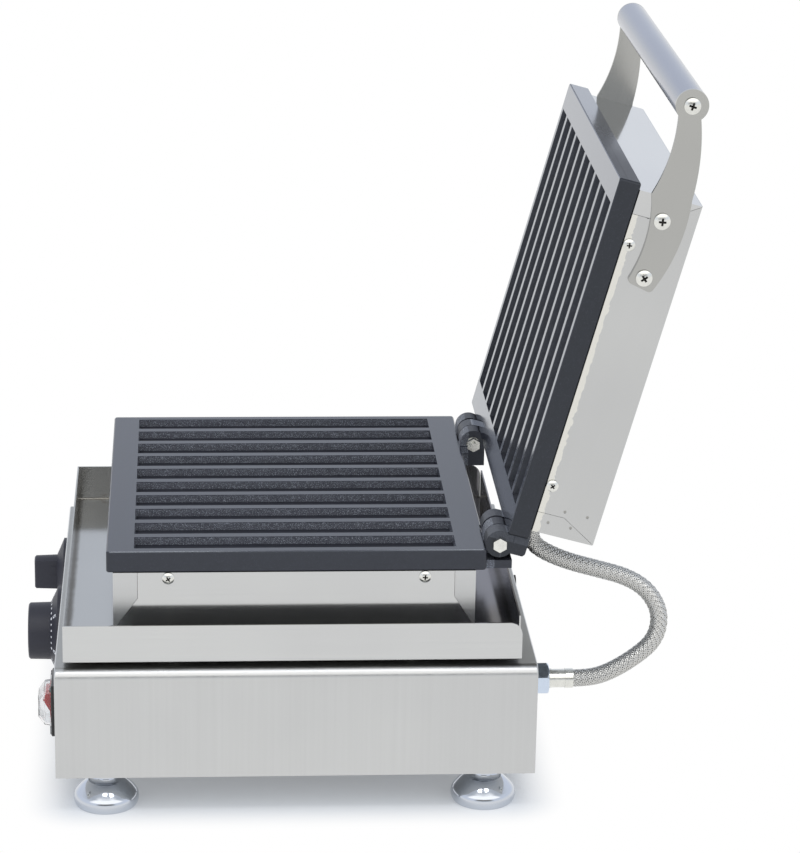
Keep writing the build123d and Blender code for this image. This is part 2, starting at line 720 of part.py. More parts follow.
def make_insulation(lower):
    z0 = element_radius * 2 + seat_gap + clamp_sheet
    z1 = z0 + insulation_thickness
    board = block(-clamp_half_width, clamp_half_width, -clamp_half_length, clamp_half_length, z0, z1)
    for x, y in clamp_places:
        board -= rod(m5 + screw_gap, (x, y, z0 - 1), (x, y, z1 + 1))
    return set_box(board, lower)


def make_clamp_bolts(lower):
    """Bolts with broad washer heads that hold the insulation, the clamp and the element to the plate."""
    seat = element_radius * 2 + seat_gap + clamp_sheet + insulation_thickness
    bolts = []
    for x, y in clamp_places:
        face = seat + clamp_washer
        bolt = rod(m5 - press_gap, (x, y, 1 - boss_tap), (x, y, seat))
        bolt += rod(clamp_washer_radius, (x, y, seat), (x, y, face))
        bolts.append(bolt + hexagon(clamp_nut_flats, (x, y, face), (x, y, face + clamp_nut_height)))
    return set_box(group(bolts), lower)


# ---------------------------------------------------------------- hinge hardware
def hinge_stack():
    """For each hinge: where its bolt head sits, where its washer sits, and the way to the nut."""
    right_inner = right_knuckles[2][0]
    left_outer = left_knuckles[2][0]
    return ((hinge_right_face, right_inner, -1), (left_outer, hinge_left_face, 1))


def hinge_point(x):
    return (x, hinge_y, hinge_z)


def make_hinge_bolts():
    bolts = []
    for head, washer, way in hinge_stack():
        end = washer + way * (hinge_washer + hinge_nut_height + bolt_end)
        bolt = rod(m6, hinge_point(head), hinge_point(end))
        bolts.append(bolt + hexagon(hinge_head_flats, hinge_point(head - way * hinge_head_height), hinge_point(head)))
    return group(bolts)


def make_hinge_washers():
    return group(
        tube_between(hinge_washer_radius, m6 + press_gap, hinge_point(washer), hinge_point(washer + way * hinge_washer))
        for head, washer, way in hinge_stack()
    )


def make_hinge_nuts():
    nuts = []
    for head, washer, way in hinge_stack():
        start = hinge_point(washer + way * hinge_washer)
        end = hinge_point(washer + way * (hinge_washer + hinge_nut_height))
        nuts.append(hexagon(hinge_head_flats, start, end) - rod(m6 + press_gap, start, end))
    return group(nuts)


# ---------------------------------------------------------------- handle
def make_arm(sign):
    """A waisted flat arm with a round eye for the bar, cut from sheet and drawn in y and z."""
    lower = [(box_front + behind, upper_plate_back + rise) for behind, rise in arm_lower_edge]
    upper = [(box_front + behind, upper_plate_back + rise) for behind, rise in arm_upper_edge]
    leaf = make_face([
        ThreePointArc(*lower[:3]), ThreePointArc(*lower[2:]), Line(lower[-1], upper[0]),
        ThreePointArc(*upper[:3]), ThreePointArc(*upper[2:]), Line(upper[-1], lower[0]),
    ])
    outline = Pos(handle_y, handle_z) * Circle(handle_radius) + leaf
    outline = fillet(outline.vertices().sort_by(Axis.X)[-2:], arm_tip_radius)
    side = Plane(origin=(half_width, 0, 0), x_dir=(0, 1, 0), z_dir=(1, 0, 0))
    arm = extrude(side * outline, amount=arm_sheet)
    screw_z = upper_plate_back + arm_screw_rise
    through = (half_width - 1, half_width + arm_sheet + 1)
    for y in arm_screw_y:
        arm -= rod(m5 + screw_gap, (through[0], y, screw_z), (through[1], y, screw_z))
    arm -= rod(m6 + screw_gap, (through[0], handle_y, handle_z), (through[1], handle_y, handle_z))
    return opened(arm if sign > 0 else mirror(arm, Plane.YZ))


def make_handle_tube():
    bar = rod(handle_radius, (-half_width, handle_y, handle_z), (half_width, handle_y, handle_z))
    for sign in (-1, 1):
        bar -= rod(m6, (sign * (half_width - handle_thread), handle_y, handle_z),
                   (sign * half_width, handle_y, handle_z))
    return opened(bar)


def make_arm_screws():
    z = upper_plate_back + arm_screw_rise
    length = arm_sheet + box_sheet + screw_run
    return opened(group(
        pan_screw(arm_head_radius, arm_head_height, m5, length, (sign * (half_width + arm_sheet), y, z), (sign, 0, 0))
        for sign in (-1, 1) for y in arm_screw_y))


def make_arm_nuts():
    nuts = []
    for sign in (-1, 1):
        for y in arm_screw_y:
            z = upper_plate_back + arm_screw_rise
            start = (sign * (half_width - box_sheet), y, z)
            end = (sign * (half_width - box_sheet - clamp_nut_height), y, z)
            nuts.append(hexagon(clamp_nut_flats, start, end) - rod(m5 + press_gap, start, end))
    return opened(group(nuts))


def make_tube_screws():
    return opened(group(
        pan_screw(arm_head_radius, arm_head_height, m6 - press_gap, arm_sheet + handle_thread - 2.0,
                  (sign * (half_width + arm_sheet), handle_y, handle_z), (sign, 0, 0))
        for sign in (-1, 1)))


# ---------------------------------------------------------------- controls
def on_panel(x, forward, z=0.0):
    """A point that stands forward of the front panel, at a control's centre."""
    return (x, panel_front - forward, control_z + z)


def make_control_body(x, width, depth, height):
    """A switch body behind the panel, with the threaded bush that holds it there."""
    body = block(x - width / 2, x + width / 2, panel_inside, panel_inside + depth,
                 control_z - height / 2, control_z + height / 2)
    body = chamfer(body.edges().filter_by(Axis.Y), body_corner)
    body += rod(bush_radius, on_panel(x, bush_reach), (x, panel_inside, control_z))
    return body - rod(shaft_radius + running_gap, on_panel(x, bush_reach + 1), (x, panel_inside + depth * 0.6, control_z))


def make_control_nuts():
    return group(
        hexagon(control_nut_flats, on_panel(x, 0), on_panel(x, control_nut_height))
        - rod(bush_radius + press_gap, on_panel(x, 0), on_panel(x, control_nut_height))
        for x in (timer_x, thermostat_x)
    )


def make_shaft(x, depth):
    return rod(shaft_radius, on_panel(x, shaft_reach), (x, panel_inside + depth * 0.5, control_z))


def knob_turning(points, x):
    """Turn a knob's outline, given as radius and distance from the panel, about its shaft."""
    outline = make_face(Polyline(*points, close=True))
    turned = revolve(Plane.XZ * outline, Axis.Z)
    return Plane(origin=on_panel(x, 0), x_dir=(1, 0, 0), z_dir=(0, -1, 0)) * turned


def hollow_knob(knob, x):
    """Cut the shaft's bore and the pocket that clears the nut."""
    knob -= rod(nut_room, on_panel(x, 0), on_panel(x, bush_reach + 1.5))
    return knob - rod(shaft_radius + press_gap, on_panel(x, 0), on_panel(x, shaft_reach + 0.5))


def make_timer_knob():
    """A round grip with a dished end, on a wide sloping skirt that carries the scale."""
    grip, skirt, reach = timer_grip_radius, timer_skirt_radius, timer_reach
    dish, dish_depth = grip * 0.7, 0.8
    points = [(0, knob_stand), (skirt, knob_stand), (skirt, skirt_edge), (grip + 0.4, skirt_top), (grip, skirt_top + 0.4),
              (grip - 0.4, reach - grip_edge), (grip - 0.4 - grip_edge, reach), (dish + dish_depth, reach),
              (dish, reach - dish_depth), (0, reach - dish_depth)]
    return hollow_knob(knob_turning(points, timer_x), timer_x)


def make_thermostat_knob():
    """A round grip with two flats and three grooves in each, on a sloping skirt."""
    x, skirt = thermostat_x, thermostat_skirt_radius
    points = [(0, knob_stand), (skirt, knob_stand), (skirt, skirt_edge), (thermostat_grip_radius, skirt_top), (0, skirt_top)]
    knob = knob_turning(points, x)
    front = Plane(origin=on_panel(x, skirt_edge), x_dir=(1, 0, 0), z_dir=(0, -1, 0))
    flats = Circle(thermostat_grip_radius) & Rectangle(thermostat_grip_width, thermostat_grip_radius * 2)
    wing = extrude(front * flats, amount=thermostat_reach - skirt_edge, taper=2.0)
    wing = chamfer(wing.faces().sort_by(Axis.Y)[0].edges(), grip_edge)
    for sign in (-1, 1):
        for rise in groove_rises:
            groove_x = x + sign * thermostat_grip_width / 2
            wing -= block(groove_x - groove_depth, groove_x + groove_depth,
                          panel_front - thermostat_reach, panel_front - skirt_top - 1.5,
                          control_z + rise - groove_width / 2, control_z + rise + groove_width / 2)
    return hollow_knob(knob + wing, x)


def make_switch_body():
    x = switch_x
    bezel = block(x - bezel_width / 2, x + bezel_width / 2, panel_front - bezel_depth, panel_front,
                  control_z - bezel_height / 2, control_z + bezel_height / 2)
    bezel = chamfer(bezel.faces().sort_by(Axis.Y)[0].edges(), bezel_edge)
    half_w = rocker_width / 2 + screw_gap
    half_h = window_height / 2
    case_back = panel_front + switch_depth
    case = block(x - half_w - switch_wall + screw_gap, x + half_w + switch_wall - screw_gap,
                 panel_front, case_back, control_z - half_h - switch_wall, control_z + half_h + switch_wall)
    body = bezel + case
    body -= block(x - half_w, x + half_w, panel_front - bezel_depth - 1, panel_front + switch_well,
                  control_z - half_h, control_z + half_h)
    body -= rod(rocker_pin + running_gap, (x - half_w - 1.0, panel_front + rocker_pivot, control_z),
                (x + half_w + 1.0, panel_front + rocker_pivot, control_z))
    for tab_x in (x - tab_spacing / 2, x + tab_spacing / 2):
        body += block(tab_x - tab_width / 2, tab_x + tab_width / 2, case_back, case_back + tab_length,
                      control_z - tab_sheet / 2, control_z + tab_sheet / 2)
    return body


def make_rocker():
    x = switch_x
    half = rocker_height / 2
    front = panel_front - bezel_depth
    back = panel_front + rocker_pivot + 2.0
    outline = make_face(Polyline(
        (back, control_z - half * 0.55),
        (front - 0.4, control_z - half),
        (front - 0.9, control_z - half * 0.3),
        (front - rocker_rise, control_z + half * 0.52),
        (front - rocker_rise * 0.7, control_z + half * 0.93),
        (front, control_z + half),
        (back, control_z + half * 0.55), close=True))
    side = Plane(origin=(x - rocker_width / 2, 0, 0), x_dir=(0, 1, 0), z_dir=(1, 0, 0))
    rocker = extrude(side * outline, amount=rocker_width)
    reach = rocker_width / 2 + screw_gap + 0.8
    return rocker + rod(rocker_pin, (x - reach, panel_front + rocker_pivot, control_z),
                        (x + reach, panel_front + rocker_pivot, control_z))


def make_switch_cover():
    """The clear splash cover: a bulged dome with a lip that sits on the bezel."""
    x = switch_x
    front = panel_front - bezel_depth

    def dome(wall):
        base = Plane(origin=(x, front, control_z), x_dir=(1, 0, 0), z_dir=(0, -1, 0))
        wide, tall, depth = splash_width - 2 * wall, splash_height - 2 * wall, splash_depth - wall
        sections = [
            base * RectangleRounded(wide, tall, 2.5),
            base.offset(depth * 0.55) * RectangleRounded(wide * 0.97, tall * 0.94, 2.5),
            base.offset(depth) * RectangleRounded(wide * 0.75, tall * 0.58, 2.5),
        ]
        return loft(sections, ruled=True)

    lip_w, lip_h = bezel_width / 2 - splash_lip, bezel_height / 2 - splash_lip
    hole_w, hole_h = splash_width / 2 - splash_wall, splash_height / 2 - splash_wall
    lip = block(x - lip_w, x + lip_w, front - splash_wall, front, control_z - lip_h, control_z + lip_h)
    hole = block(x - hole_w, x + hole_w, front - splash_wall * 1.2, front + 1, control_z - hole_h, control_z + hole_h)
    return lip + dome(0) - dome(splash_wall) - hole


def make_terminal_block():
    """A ceramic terminal strip on the bottom cover."""
    x, y = terminal_x, terminal_y
    top = base_bottom + terminal_height
    strip = block(x - terminal_length / 2, x + terminal_length / 2, y - terminal_width / 2, y + terminal_width / 2,
                  base_bottom, top)
    strip = chamfer(strip.edges().filter_by(Axis.X).group_by(Axis.Z)[-1], 3.0)
    for step in (-2, -1, 0, 1, 2):
        hole_x = x + step * terminal_pitch
        strip -= rod(terminal_hole_radius, (hole_x, y - terminal_width, base_bottom + terminal_height / 2),
                     (hole_x, y + terminal_width, base_bottom + terminal_height / 2))
    return strip


# ---------------------------------------------------------------- hose and cord outlet
def at_back(x, out):
    """A point that stands out behind the base, at the height of the outlets."""
    return (x, back_face + out, hose_z)


def make_hose_nut():
    """The swivel nut on the base, with the threaded stub that passes through the sheet."""
    nut = hexagon(hose_nut_flats, at_back(hose_x, 0), at_back(hose_x, hose_nut_length), turn=hose_nut_turn)
    cone = rod(hose_nut_flats * 0.58, at_back(hose_x, -1), at_back(hose_x, hose_nut_length))
    cone = chamfer(cone.edges().sort_by(Axis.Y)[-1], hose_nut_edge)
    nut &= cone
    return nut + rod(hose_stub_radius, at_back(hose_x, -base_sheet - hose_locknut_height - 2), at_back(hose_x, 0))


def make_hose_locknut():
    start, end = at_back(hose_x, -base_sheet - hose_locknut_height), at_back(hose_x, -base_sheet)
    return hexagon(hose_locknut_flats, start, end) - rod(hose_stub_radius + press_gap, start, end)


def make_hose_ferrule():
    """The crimped sleeve that joins the braid to the nut: a collar, a groove and a wide band."""
    start = hose_nut_length
    end = start + ferrule_length
    band = end - ferrule_band
    sleeve = rod(ferrule_waist_radius, at_back(hose_x, start), at_back(hose_x, band - ferrule_groove))
    sleeve += rod(ferrule_groove_radius, at_back(hose_x, start), at_back(hose_x, band))
    sleeve += rod(ferrule_radius, at_back(hose_x, start + ferrule_collar / 2), at_back(hose_x, start + ferrule_collar))
    return sleeve + rod(ferrule_radius, at_back(hose_x, band), at_back(hose_x, end))


def make_lid_fitting():
    """The collar that the hose enters on the hinge end of the lid's box."""
    def out(distance):
        return (hose_x, box_back + distance, lid_hose_z)

    fitting = rod(hose_stub_radius, out(-box_sheet - hose_locknut_height - 2), out(0))
    fitting += rod(lid_fitting_flange_radius, out(0), out(lid_fitting_flange))
    fitting += rod(ferrule_radius, out(lid_fitting_flange), out(lid_fitting_length))
    return opened(fitting)


def make_lid_hose_locknut():
    start = (hose_x, box_back - box_sheet - hose_locknut_height, lid_hose_z)
    end = (hose_x, box_back - box_sheet, lid_hose_z)
    return opened(hexagon(lid_locknut_flats, start, end, turn=30.0) - rod(hose_stub_radius + press_gap, start, end))


def make_hose():
    """The braided hose as a plain tube along straight runs joined by the widest arcs that fit."""
    base_end = back_face + hose_nut_length + ferrule_length
    lid_end = opened(Pos(hose_x, box_back + lid_fitting_length, lid_hose_z)).position
    lid_lead = opened(Pos(hose_x, box_back + lid_fitting_length + hose_lid_lead, lid_hose_z)).position
    points = [Vector(hose_x, base_end, hose_z), Vector(hose_x, base_end + hose_base_lead, hose_z)]
    points += [Vector(hose_x, y, hose_z + rise) for y, rise in hose_turns]
    points += [lid_lead, lid_end]
    radii = []
    for before, here, after in zip(points, points[1:], points[2:]):
        run_in, run_out = here - before, after - here
        turn = radians(run_in.get_angle(run_out))
        radii.append(0.45 * min(run_in.length, run_out.length) / tan(turn / 2))
    path = FilletPolyline(*points, radius=radii)
    start = Plane(origin=path @ 0, z_dir=path % 0)
    hose = sweep(start * Circle(hose_radius), path=path)
    ideal = path.length * 3.14159265 * hose_radius ** 2
    print("hose: length %.1f mm, volume %.4f of its section times its length" % (path.length, hose.volume / ideal))
    print("hose radii:", [round(radius, 1) for radius in radii])
    return hose


def make_cord_bushing():
    """The snap-in bushing for the mains cord: a flange outside, a neck and two barbs inside."""
    neck_end = -base_sheet - 6.0
    bushing = rod(cord_flange_radius, at_back(cord_x, 0), at_back(cord_x, cord_flange))
    bushing += rod(cord_neck_radius, at_back(cord_x, neck_end), at_back(cord_x, 0))
    bushing += rod(cord_nose_radius, at_back(cord_x, cord_flange), at_back(cord_x, cord_nose))
    for sign in (-1, 1):
        bushing += Pos(*at_back(cord_x + sign * (cord_neck_radius + 0.5), -base_sheet - 1.9)) * Box(2.0, 3.2, 6.0)
    return bushing - rod(cord_bore, at_back(cord_x, neck_end - 1), at_back(cord_x, cord_nose + 1))


# ---------------------------------------------------------------- the assembly
nodes = {
    "base_housing": make_base_housing(),
    "bottom_cover": make_bottom_cover(),
    "cover_screws": make_cover_screws(),
    "foot_bolts": make_foot_bolts(),
    "foot_nuts": make_foot_nuts(),
    "drip_tray": make_drip_tray(),
    "tray_spacers": make_tray_spacers(),
    "plate_pillars": make_plate_pillars(),
    "pillar_bolts": make_pillar_bolts(),
    "pillar_nuts": make_pillar_nuts(),
    "cable_sleeve": make_cable_sleeve(),
    "lower_plate": make_plate(lower_knuckles, upper_knuckles, plate_top, lower_lug_reach, 0.0, turned=False),
    "upper_plate": opened(make_plate(upper_knuckles, lower_knuckles, upper_plate_face,
                                     upper_lug_reach, upper_lug_pad, turned=True)),
    "hinge_bolts": make_hinge_bolts(),
    "hinge_washers": make_hinge_washers(),
    "hinge_nuts": make_hinge_nuts(),
    "handle_arm_right": make_arm(1),
    "handle_arm_left": make_arm(-1),
    "handle_tube": make_handle_tube(),
    "arm_screws": make_arm_screws(),
    "arm_nuts": make_arm_nuts(),
    "tube_screws": make_tube_screws(),
    "timer_body": make_control_body(timer_x, timer_width, timer_depth, timer_height),
    "timer_shaft": make_shaft(timer_x, timer_depth),
    "timer_knob": make_timer_knob(),
    "thermostat_body": make_control_body(thermostat_x, thermostat_width, thermostat_depth, thermostat_height),
    "thermostat_shaft": make_shaft(thermostat_x, thermostat_depth),
    "thermostat_knob": make_thermostat_knob(),
    "control_nuts": make_control_nuts(),
    "switch_body": make_switch_body(),
    "switch_rocker": make_rocker(),
    "switch_cover": make_switch_cover(),
    "terminal_block": make_terminal_block(),
    "cord_bushing": make_cord_bushing(),
    "hose_nut": make_hose_nut(),
    "hose_locknut": make_hose_locknut(),
    "hose_ferrule": make_hose_ferrule(),
    "lid_hose": make_hose(),
    "lid_hose_fitting": make_lid_fitting(),
    "lid_hose_locknut": make_lid_hose_locknut(),
}
for side, x in (("left", -foot_x), ("right", foot_x)):
    for end, y in (("front", -foot_y), ("back", foot_y)):
        nodes["foot_%s_%s" % (end, side)] = make_foot(x, y)
for name, depth, lower in (("lower", lower_box_depth, True), ("upper", upper_box_depth, False)):
    pieces = {
        "box_shell": make_box_shell(depth, lower),
        "box_front_panel": make_end_panel(box_front, flap_front, depth, lower),
        "box_back_panel": make_end_panel(box_back, flap_back, depth, lower),
        "box_screws": make_box_screws(lower),
        "element": make_element(lower),
        "clamp_plate": make_clamp_plate(lower),
        "insulation": make_insulation(lower),
        "clamp_bolts": make_clamp_bolts(lower),
    }
    for piece, shape in pieces.items():
        nodes["%s_%s" % (name, piece)] = shape if lower else opened(shape)

# The row frame's origin: on the floor, half way between the knobs and the open handle.
swing = radians(open_angle)
handle_open_y = hinge_y + (handle_y - hinge_y) * cos(swing) + (handle_z - hinge_z) * sin(swing)
open_back = handle_open_y + handle_radius
origin_y = (panel_front - max(timer_reach, thermostat_reach) + open_back) / 2
print("row origin is %.3f mm behind the middle of the base" % origin_y)

for name, shape in nodes.items():
    export_step(Pos(0, -origin_y, 0) * shape, "parts/%s.step" % name)
print(len(nodes), "nodes written")
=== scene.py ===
# %% [markdown]
# # An open panini press
#
# The press has a sheet-steel base on four chromed feet, a drip tray, two ribbed cast
# plates in folded boxes, and a lid that swings on two bolts. The CAD model holds every
# solid at its real size. This lesson gives each of them its finish and adds what CAD
# leaves plain: the braid of the hose, the recesses of the screws, the marks on the dials
# and the studio round it. All lengths are in metres.

# %% Load the frame
from math import cos, pi, radians, sin

import bmesh
import bpy
from mathutils import Matrix, Vector


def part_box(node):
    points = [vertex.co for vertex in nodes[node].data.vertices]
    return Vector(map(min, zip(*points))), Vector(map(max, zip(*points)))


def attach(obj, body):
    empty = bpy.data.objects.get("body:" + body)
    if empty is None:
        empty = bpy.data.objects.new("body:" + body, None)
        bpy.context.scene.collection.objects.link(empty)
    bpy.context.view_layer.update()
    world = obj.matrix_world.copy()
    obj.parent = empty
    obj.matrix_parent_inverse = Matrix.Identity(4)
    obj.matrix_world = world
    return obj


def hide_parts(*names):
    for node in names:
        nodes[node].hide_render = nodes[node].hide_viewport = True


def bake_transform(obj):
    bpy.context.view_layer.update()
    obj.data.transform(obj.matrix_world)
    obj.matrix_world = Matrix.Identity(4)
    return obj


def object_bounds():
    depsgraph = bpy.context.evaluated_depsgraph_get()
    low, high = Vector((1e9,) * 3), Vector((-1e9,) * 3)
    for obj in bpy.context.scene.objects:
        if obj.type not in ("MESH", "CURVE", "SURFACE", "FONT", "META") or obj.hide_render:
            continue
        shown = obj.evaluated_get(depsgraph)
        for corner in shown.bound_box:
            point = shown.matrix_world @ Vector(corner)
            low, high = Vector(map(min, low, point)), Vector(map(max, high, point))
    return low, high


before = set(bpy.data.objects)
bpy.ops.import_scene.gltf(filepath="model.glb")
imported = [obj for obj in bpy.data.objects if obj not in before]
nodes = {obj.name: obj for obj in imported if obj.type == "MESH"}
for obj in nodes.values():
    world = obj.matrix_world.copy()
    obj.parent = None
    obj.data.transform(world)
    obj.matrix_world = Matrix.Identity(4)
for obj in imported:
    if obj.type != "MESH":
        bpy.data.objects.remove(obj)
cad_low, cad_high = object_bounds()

base_low, base_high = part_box("base_housing")
middle_y = (base_low.y + base_high.y) / 2
print(len(nodes), "nodes; the base is centred at y =", round(middle_y, 4))

# %% [markdown]
# ## Camera
# The press is seen from its right side and a little above. A long lens keeps its upright
# edges nearly parallel. The camera's axes are worked out from how far it turns, tilts and
# rolls, which is exact and needs no aiming constraint.

# %% Camera
def drop_selection():
    bpy.ops.object.select_all(action="DESELECT")


drop_selection()
bpy.ops.object.camera_add()
camera = bpy.context.object
camera.name = "side_camera"
camera.data.lens = 132.31
camera.data.clip_end = 50
camera_place = (2.38867, middle_y - 0.08147, 1.0624)
turn, tilt, roll = radians(-4.058), radians(18.681), radians(1.078)
forward = Vector((-cos(tilt) * cos(turn), -cos(tilt) * sin(turn), -sin(tilt)))
level = Vector((-sin(turn), cos(turn), 0))
upright = level.cross(forward)
across = cos(roll) * level + sin(roll) * upright
up = cos(roll) * upright - sin(roll) * level
axes = Matrix((across, up, -forward)).transposed().to_4x4()
camera.matrix_world = Matrix.Translation(camera_place) @ axes
bpy.context.scene.camera = camera
print("camera stands", round(camera.location.length, 3), "m from the origin")

# %% [markdown]
# ## Hose route
# A braided hose takes the lid's wires down to the base. It leaves the lid's box beside the hinge,
# turns out behind the press and comes back to the nut on the base. A NURBS curve through a few
# given control points gives one smooth line in the upright plane where both fittings stand.

# %% Hose route
hose_x = 0.103
hose_radius = 0.007
hose_turns = [
    (0.222, 0.0757), (0.236, 0.0757), (0.252, 0.0812), (0.271, 0.0932), (0.287, 0.1082),
    (0.2905, 0.1302), (0.280, 0.1502), (0.262, 0.1622), (0.238, 0.1690), (0.215, 0.1754),
    (0.196, 0.1837), (0.1865, 0.1912), (0.18407, 0.20136), (0.18718, 0.21295),
]
route = bpy.data.curves.new("hose_route", "CURVE")
route.dimensions = "3D"
spline = route.splines.new("NURBS")
spline.points.add(len(hose_turns) - 1)
for point, (y, z) in zip(spline.points, hose_turns):
    point.co = (hose_x, middle_y + y, z, 1)
spline.order_u = 3
spline.use_endpoint_u = True
spline.resolution_u = 24
route_object = bpy.data.objects.new("hose_route", route)
route_mesh = bpy.data.meshes.new_from_object(route_object)
hose_line = [vertex.co.copy() for vertex in route_mesh.vertices]
bpy.data.objects.remove(route_object)
bpy.data.meshes.remove(route_mesh)

# %% [markdown]
# ## Sections along the hose
# A braid is wound round a line, so the line's place and direction are needed at even
# steps, five to each crossing. The line lies in one plane, so a ring at any place is
# spanned by the X axis and the in-plane normal, and nothing twists.

# %% Sections along the hose
carriers = 16
braid_pitch = 0.040
side_axis = Vector((1, 0, 0))


def hose_sections(step):
    """Places, in-plane normals and lengths along the hose, one every step metres."""
    sections = []
    travelled = 0.0
    wanted = 0.0
    for a, b in zip(hose_line, hose_line[1:]):
        span = (b - a).length
        while wanted <= travelled + span:
            share = (wanted - travelled) / span
            direction = (b - a).normalized()
            sections.append((a.lerp(b, share), side_axis.cross(direction), wanted))
            wanted += step
        travelled += span
    return sections


def on_hose(section, angle, radius):
    """The point of a section at that angle and radius."""
    place, normal, _ = section
    return place + radius * (cos(angle) * side_axis + sin(angle) * normal)


fine_sections = hose_sections(braid_pitch / carriers / 5)
print(len(fine_sections), "sections along the hose")

# %% [markdown]
# ## Tube inside the braid
# Under the wire lies a dark tube, which shows in small gaps between the bundles. It is a
# row of rings joined by quads, in the same mesh as the braid but with a second material.
# It can be coarser than the braid, because little of it is seen.

# %% Tube inside the braid
braid_index, core_index = 0, 1
core_radius = hose_radius - 0.0011
core_sides = 20


def add_core(mesh, sections):
    """The tube inside the braid."""
    turns = [2 * pi * i / core_sides for i in range(core_sides)]
    rings = [
        [mesh.verts.new(on_hose(section, turn, core_radius)) for turn in turns]
        for section in sections
    ]
    for lower, upper in zip(rings, rings[1:]):
        for i in range(core_sides):
            j = (i + 1) % core_sides
            side = mesh.faces.new((lower[i], upper[i], upper[j], lower[j]))
            side.material_index = core_index
    mesh.faces.new(rings[0]).material_index = core_index
    mesh.faces.new(reversed(rings[-1])).material_index = core_index


hose_mesh = bmesh.new()
hose_uv = hose_mesh.loops.layers.uv.new("UVMap")
add_core(hose_mesh, fine_sections[::6])
print("tube:", len(hose_mesh.faces), "faces")

# %% [markdown]
# ## Bundles of the braid
# The braid is flat bundles of wire wound both ways round the tube, each going over one
# bundle and under the next. Ribbons of mesh catch the light as the bundles do, which a
# bump map on a tube can't. A ribbon's middle is a little higher than its edges, and its
# radius follows a cosine: at each crossing one way of winding is up where the other is
# down.

# %% Bundles of the braid
ribbon_half = 0.00112
ribbon_crown = 0.00045
weave_height = 0.00032


def add_ribbon(mesh, uv_layer, sections, start_angle, way, index):
    """One flat bundle of wires, wound to the left or the right."""
    rows = []
    for section in sections:
        angle = start_angle + way * 2 * pi * section[2] / braid_pitch
        wave = cos(2 * pi * carriers * section[2] / braid_pitch + pi * index)
        radius = hose_radius - weave_height + way * weave_height * wave
        row = []
        for side in (-1, 0, 1):
            around = angle + side * ribbon_half / hose_radius
            height = radius - abs(side) * ribbon_crown
            row.append(mesh.verts.new(on_hose(section, around, height)))
        rows.append((row, section[2]))
    for (lower, low_s), (upper, high_s) in zip(rows, rows[1:]):
        for k in range(2):
            face = mesh.faces.new((lower[k], lower[k + 1], upper[k + 1], upper[k]))
            spots = ((k, low_s), (k + 1, low_s), (k + 1, high_s), (k, high_s))
            for loop, (u, v) in zip(face.loops, spots):
                loop[uv_layer].uv = (u / 2, v * 100)


for index in range(carriers):
    for way in (-1, 1):
        add_ribbon(hose_mesh, hose_uv, fine_sections, 2 * pi * index / carriers, way, index)
print(2 * carriers, "bundles wound")

# %% [markdown]
# ## Turning the braid outwards
# The tube is a closed shell, so recalculating its normals turns it the right way. The
# ribbons are open strips, whose outside Blender can't know: each face that looks towards
# the nearest section is flipped.

# %% Turning the braid outwards
core_faces = [face for face in hose_mesh.faces if face.material_index == core_index]
bmesh.ops.recalc_face_normals(hose_mesh, faces=core_faces)
flipped = 0
for face in [face for face in hose_mesh.faces if face.material_index == braid_index]:
    centre = face.calc_center_median()
    nearest = min(fine_sections[::20], key=lambda section: (section[0] - centre).length)
    if face.normal.dot(centre - nearest[0]) < 0:
        face.normal_flip()
        flipped += 1
braid_data = bpy.data.meshes.new("braided_hose")
hose_mesh.to_mesh(braid_data)
hose_mesh.free()
for polygon in braid_data.polygons:
    polygon.use_smooth = True
print("braid:", len(braid_data.polygons), "faces,", flipped, "of them turned round")

# %% [markdown]
# ## The hose as an object
# The braid becomes an object of its own, and the lid's hose from the CAD model is hidden.

# %% The hose as an object
braided_hose = bpy.data.objects.new("braided_hose", braid_data)
bpy.context.scene.collection.objects.link(braided_hose)
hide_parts("lid_hose")
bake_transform(braided_hose)
print("the hose ends", round(hose_line[-1].z - hose_line[0].z, 4), "m above its start")

# %% [markdown]
# ## Materials and their coordinates
# Every finish starts from a Principled shader and reads Object coordinates, which are
# metres on the piece itself, so that a pattern needs no unwrapping. The pieces of the open
# lid lean back: a Mapping node turns their coordinates level, and a second one squeezes
# them, which draws grain out along one direction.

# %% Materials and their coordinates
lid_lean = radians(105)
unsqueezed = (1, 1, 1)


def parts_of(material):
    """A material's tree and its shader."""
    return material.node_tree, material.node_tree.nodes["Principled BSDF"]


def new_finish(name):
    """A new material, its tree and its shader."""
    material = bpy.data.materials.new(name)
    material.use_nodes = True
    return material, *parts_of(material)


def set_up(node, **settings):
    """Set a node's properties and inputs by name, or link an input to a socket."""
    for key, value in settings.items():
        name = key.replace("_", " ")
        if name not in node.inputs:
            setattr(node, key, value)
        elif isinstance(value, bpy.types.NodeSocket):
            node.id_data.links.new(value, node.inputs[name])
        else:
            node.inputs[name].default_value = value
    return node


def add_node(tree, kind, **settings):
    return set_up(tree.nodes.new(kind), **settings)


def placed_coordinates(tree, scale=unsqueezed, lean=0.0):
    """Object coordinates, turned back with the lid and then squeezed."""
    source = tree.nodes.new("ShaderNodeTexCoord").outputs["Object"]
    turned = add_node(tree, "ShaderNodeMapping", Vector=source, Rotation=(lean, 0, 0))
    squeezed = add_node(tree, "ShaderNodeMapping", Vector=turned.outputs[0], Scale=scale)
    return squeezed.outputs["Vector"]


def noise(vector, scale, detail=3.0, roughness=0.6):
    """A noise from 0 to 1 that is mostly near the middle."""
    settings = {"Vector": vector, "Scale": scale, "Detail": detail, "Roughness": roughness}
    return add_node(vector.id_data, "ShaderNodeTexNoise", **settings).outputs["Fac"]


print("patterns of the lid are turned back by", round(lid_lean, 3), "radians")

# %% [markdown]
# ## Colour, roughness and relief
# One noise drives all three, because on a real surface they go together: where the grain
# is deeper it is also a little darker and less shiny. A noise rarely leaves the range
# from 0.3 to 0.7, so colours and roughness are stretched over that range.

# %% Colour, roughness and relief
usual_low, usual_high = 0.3, 0.7


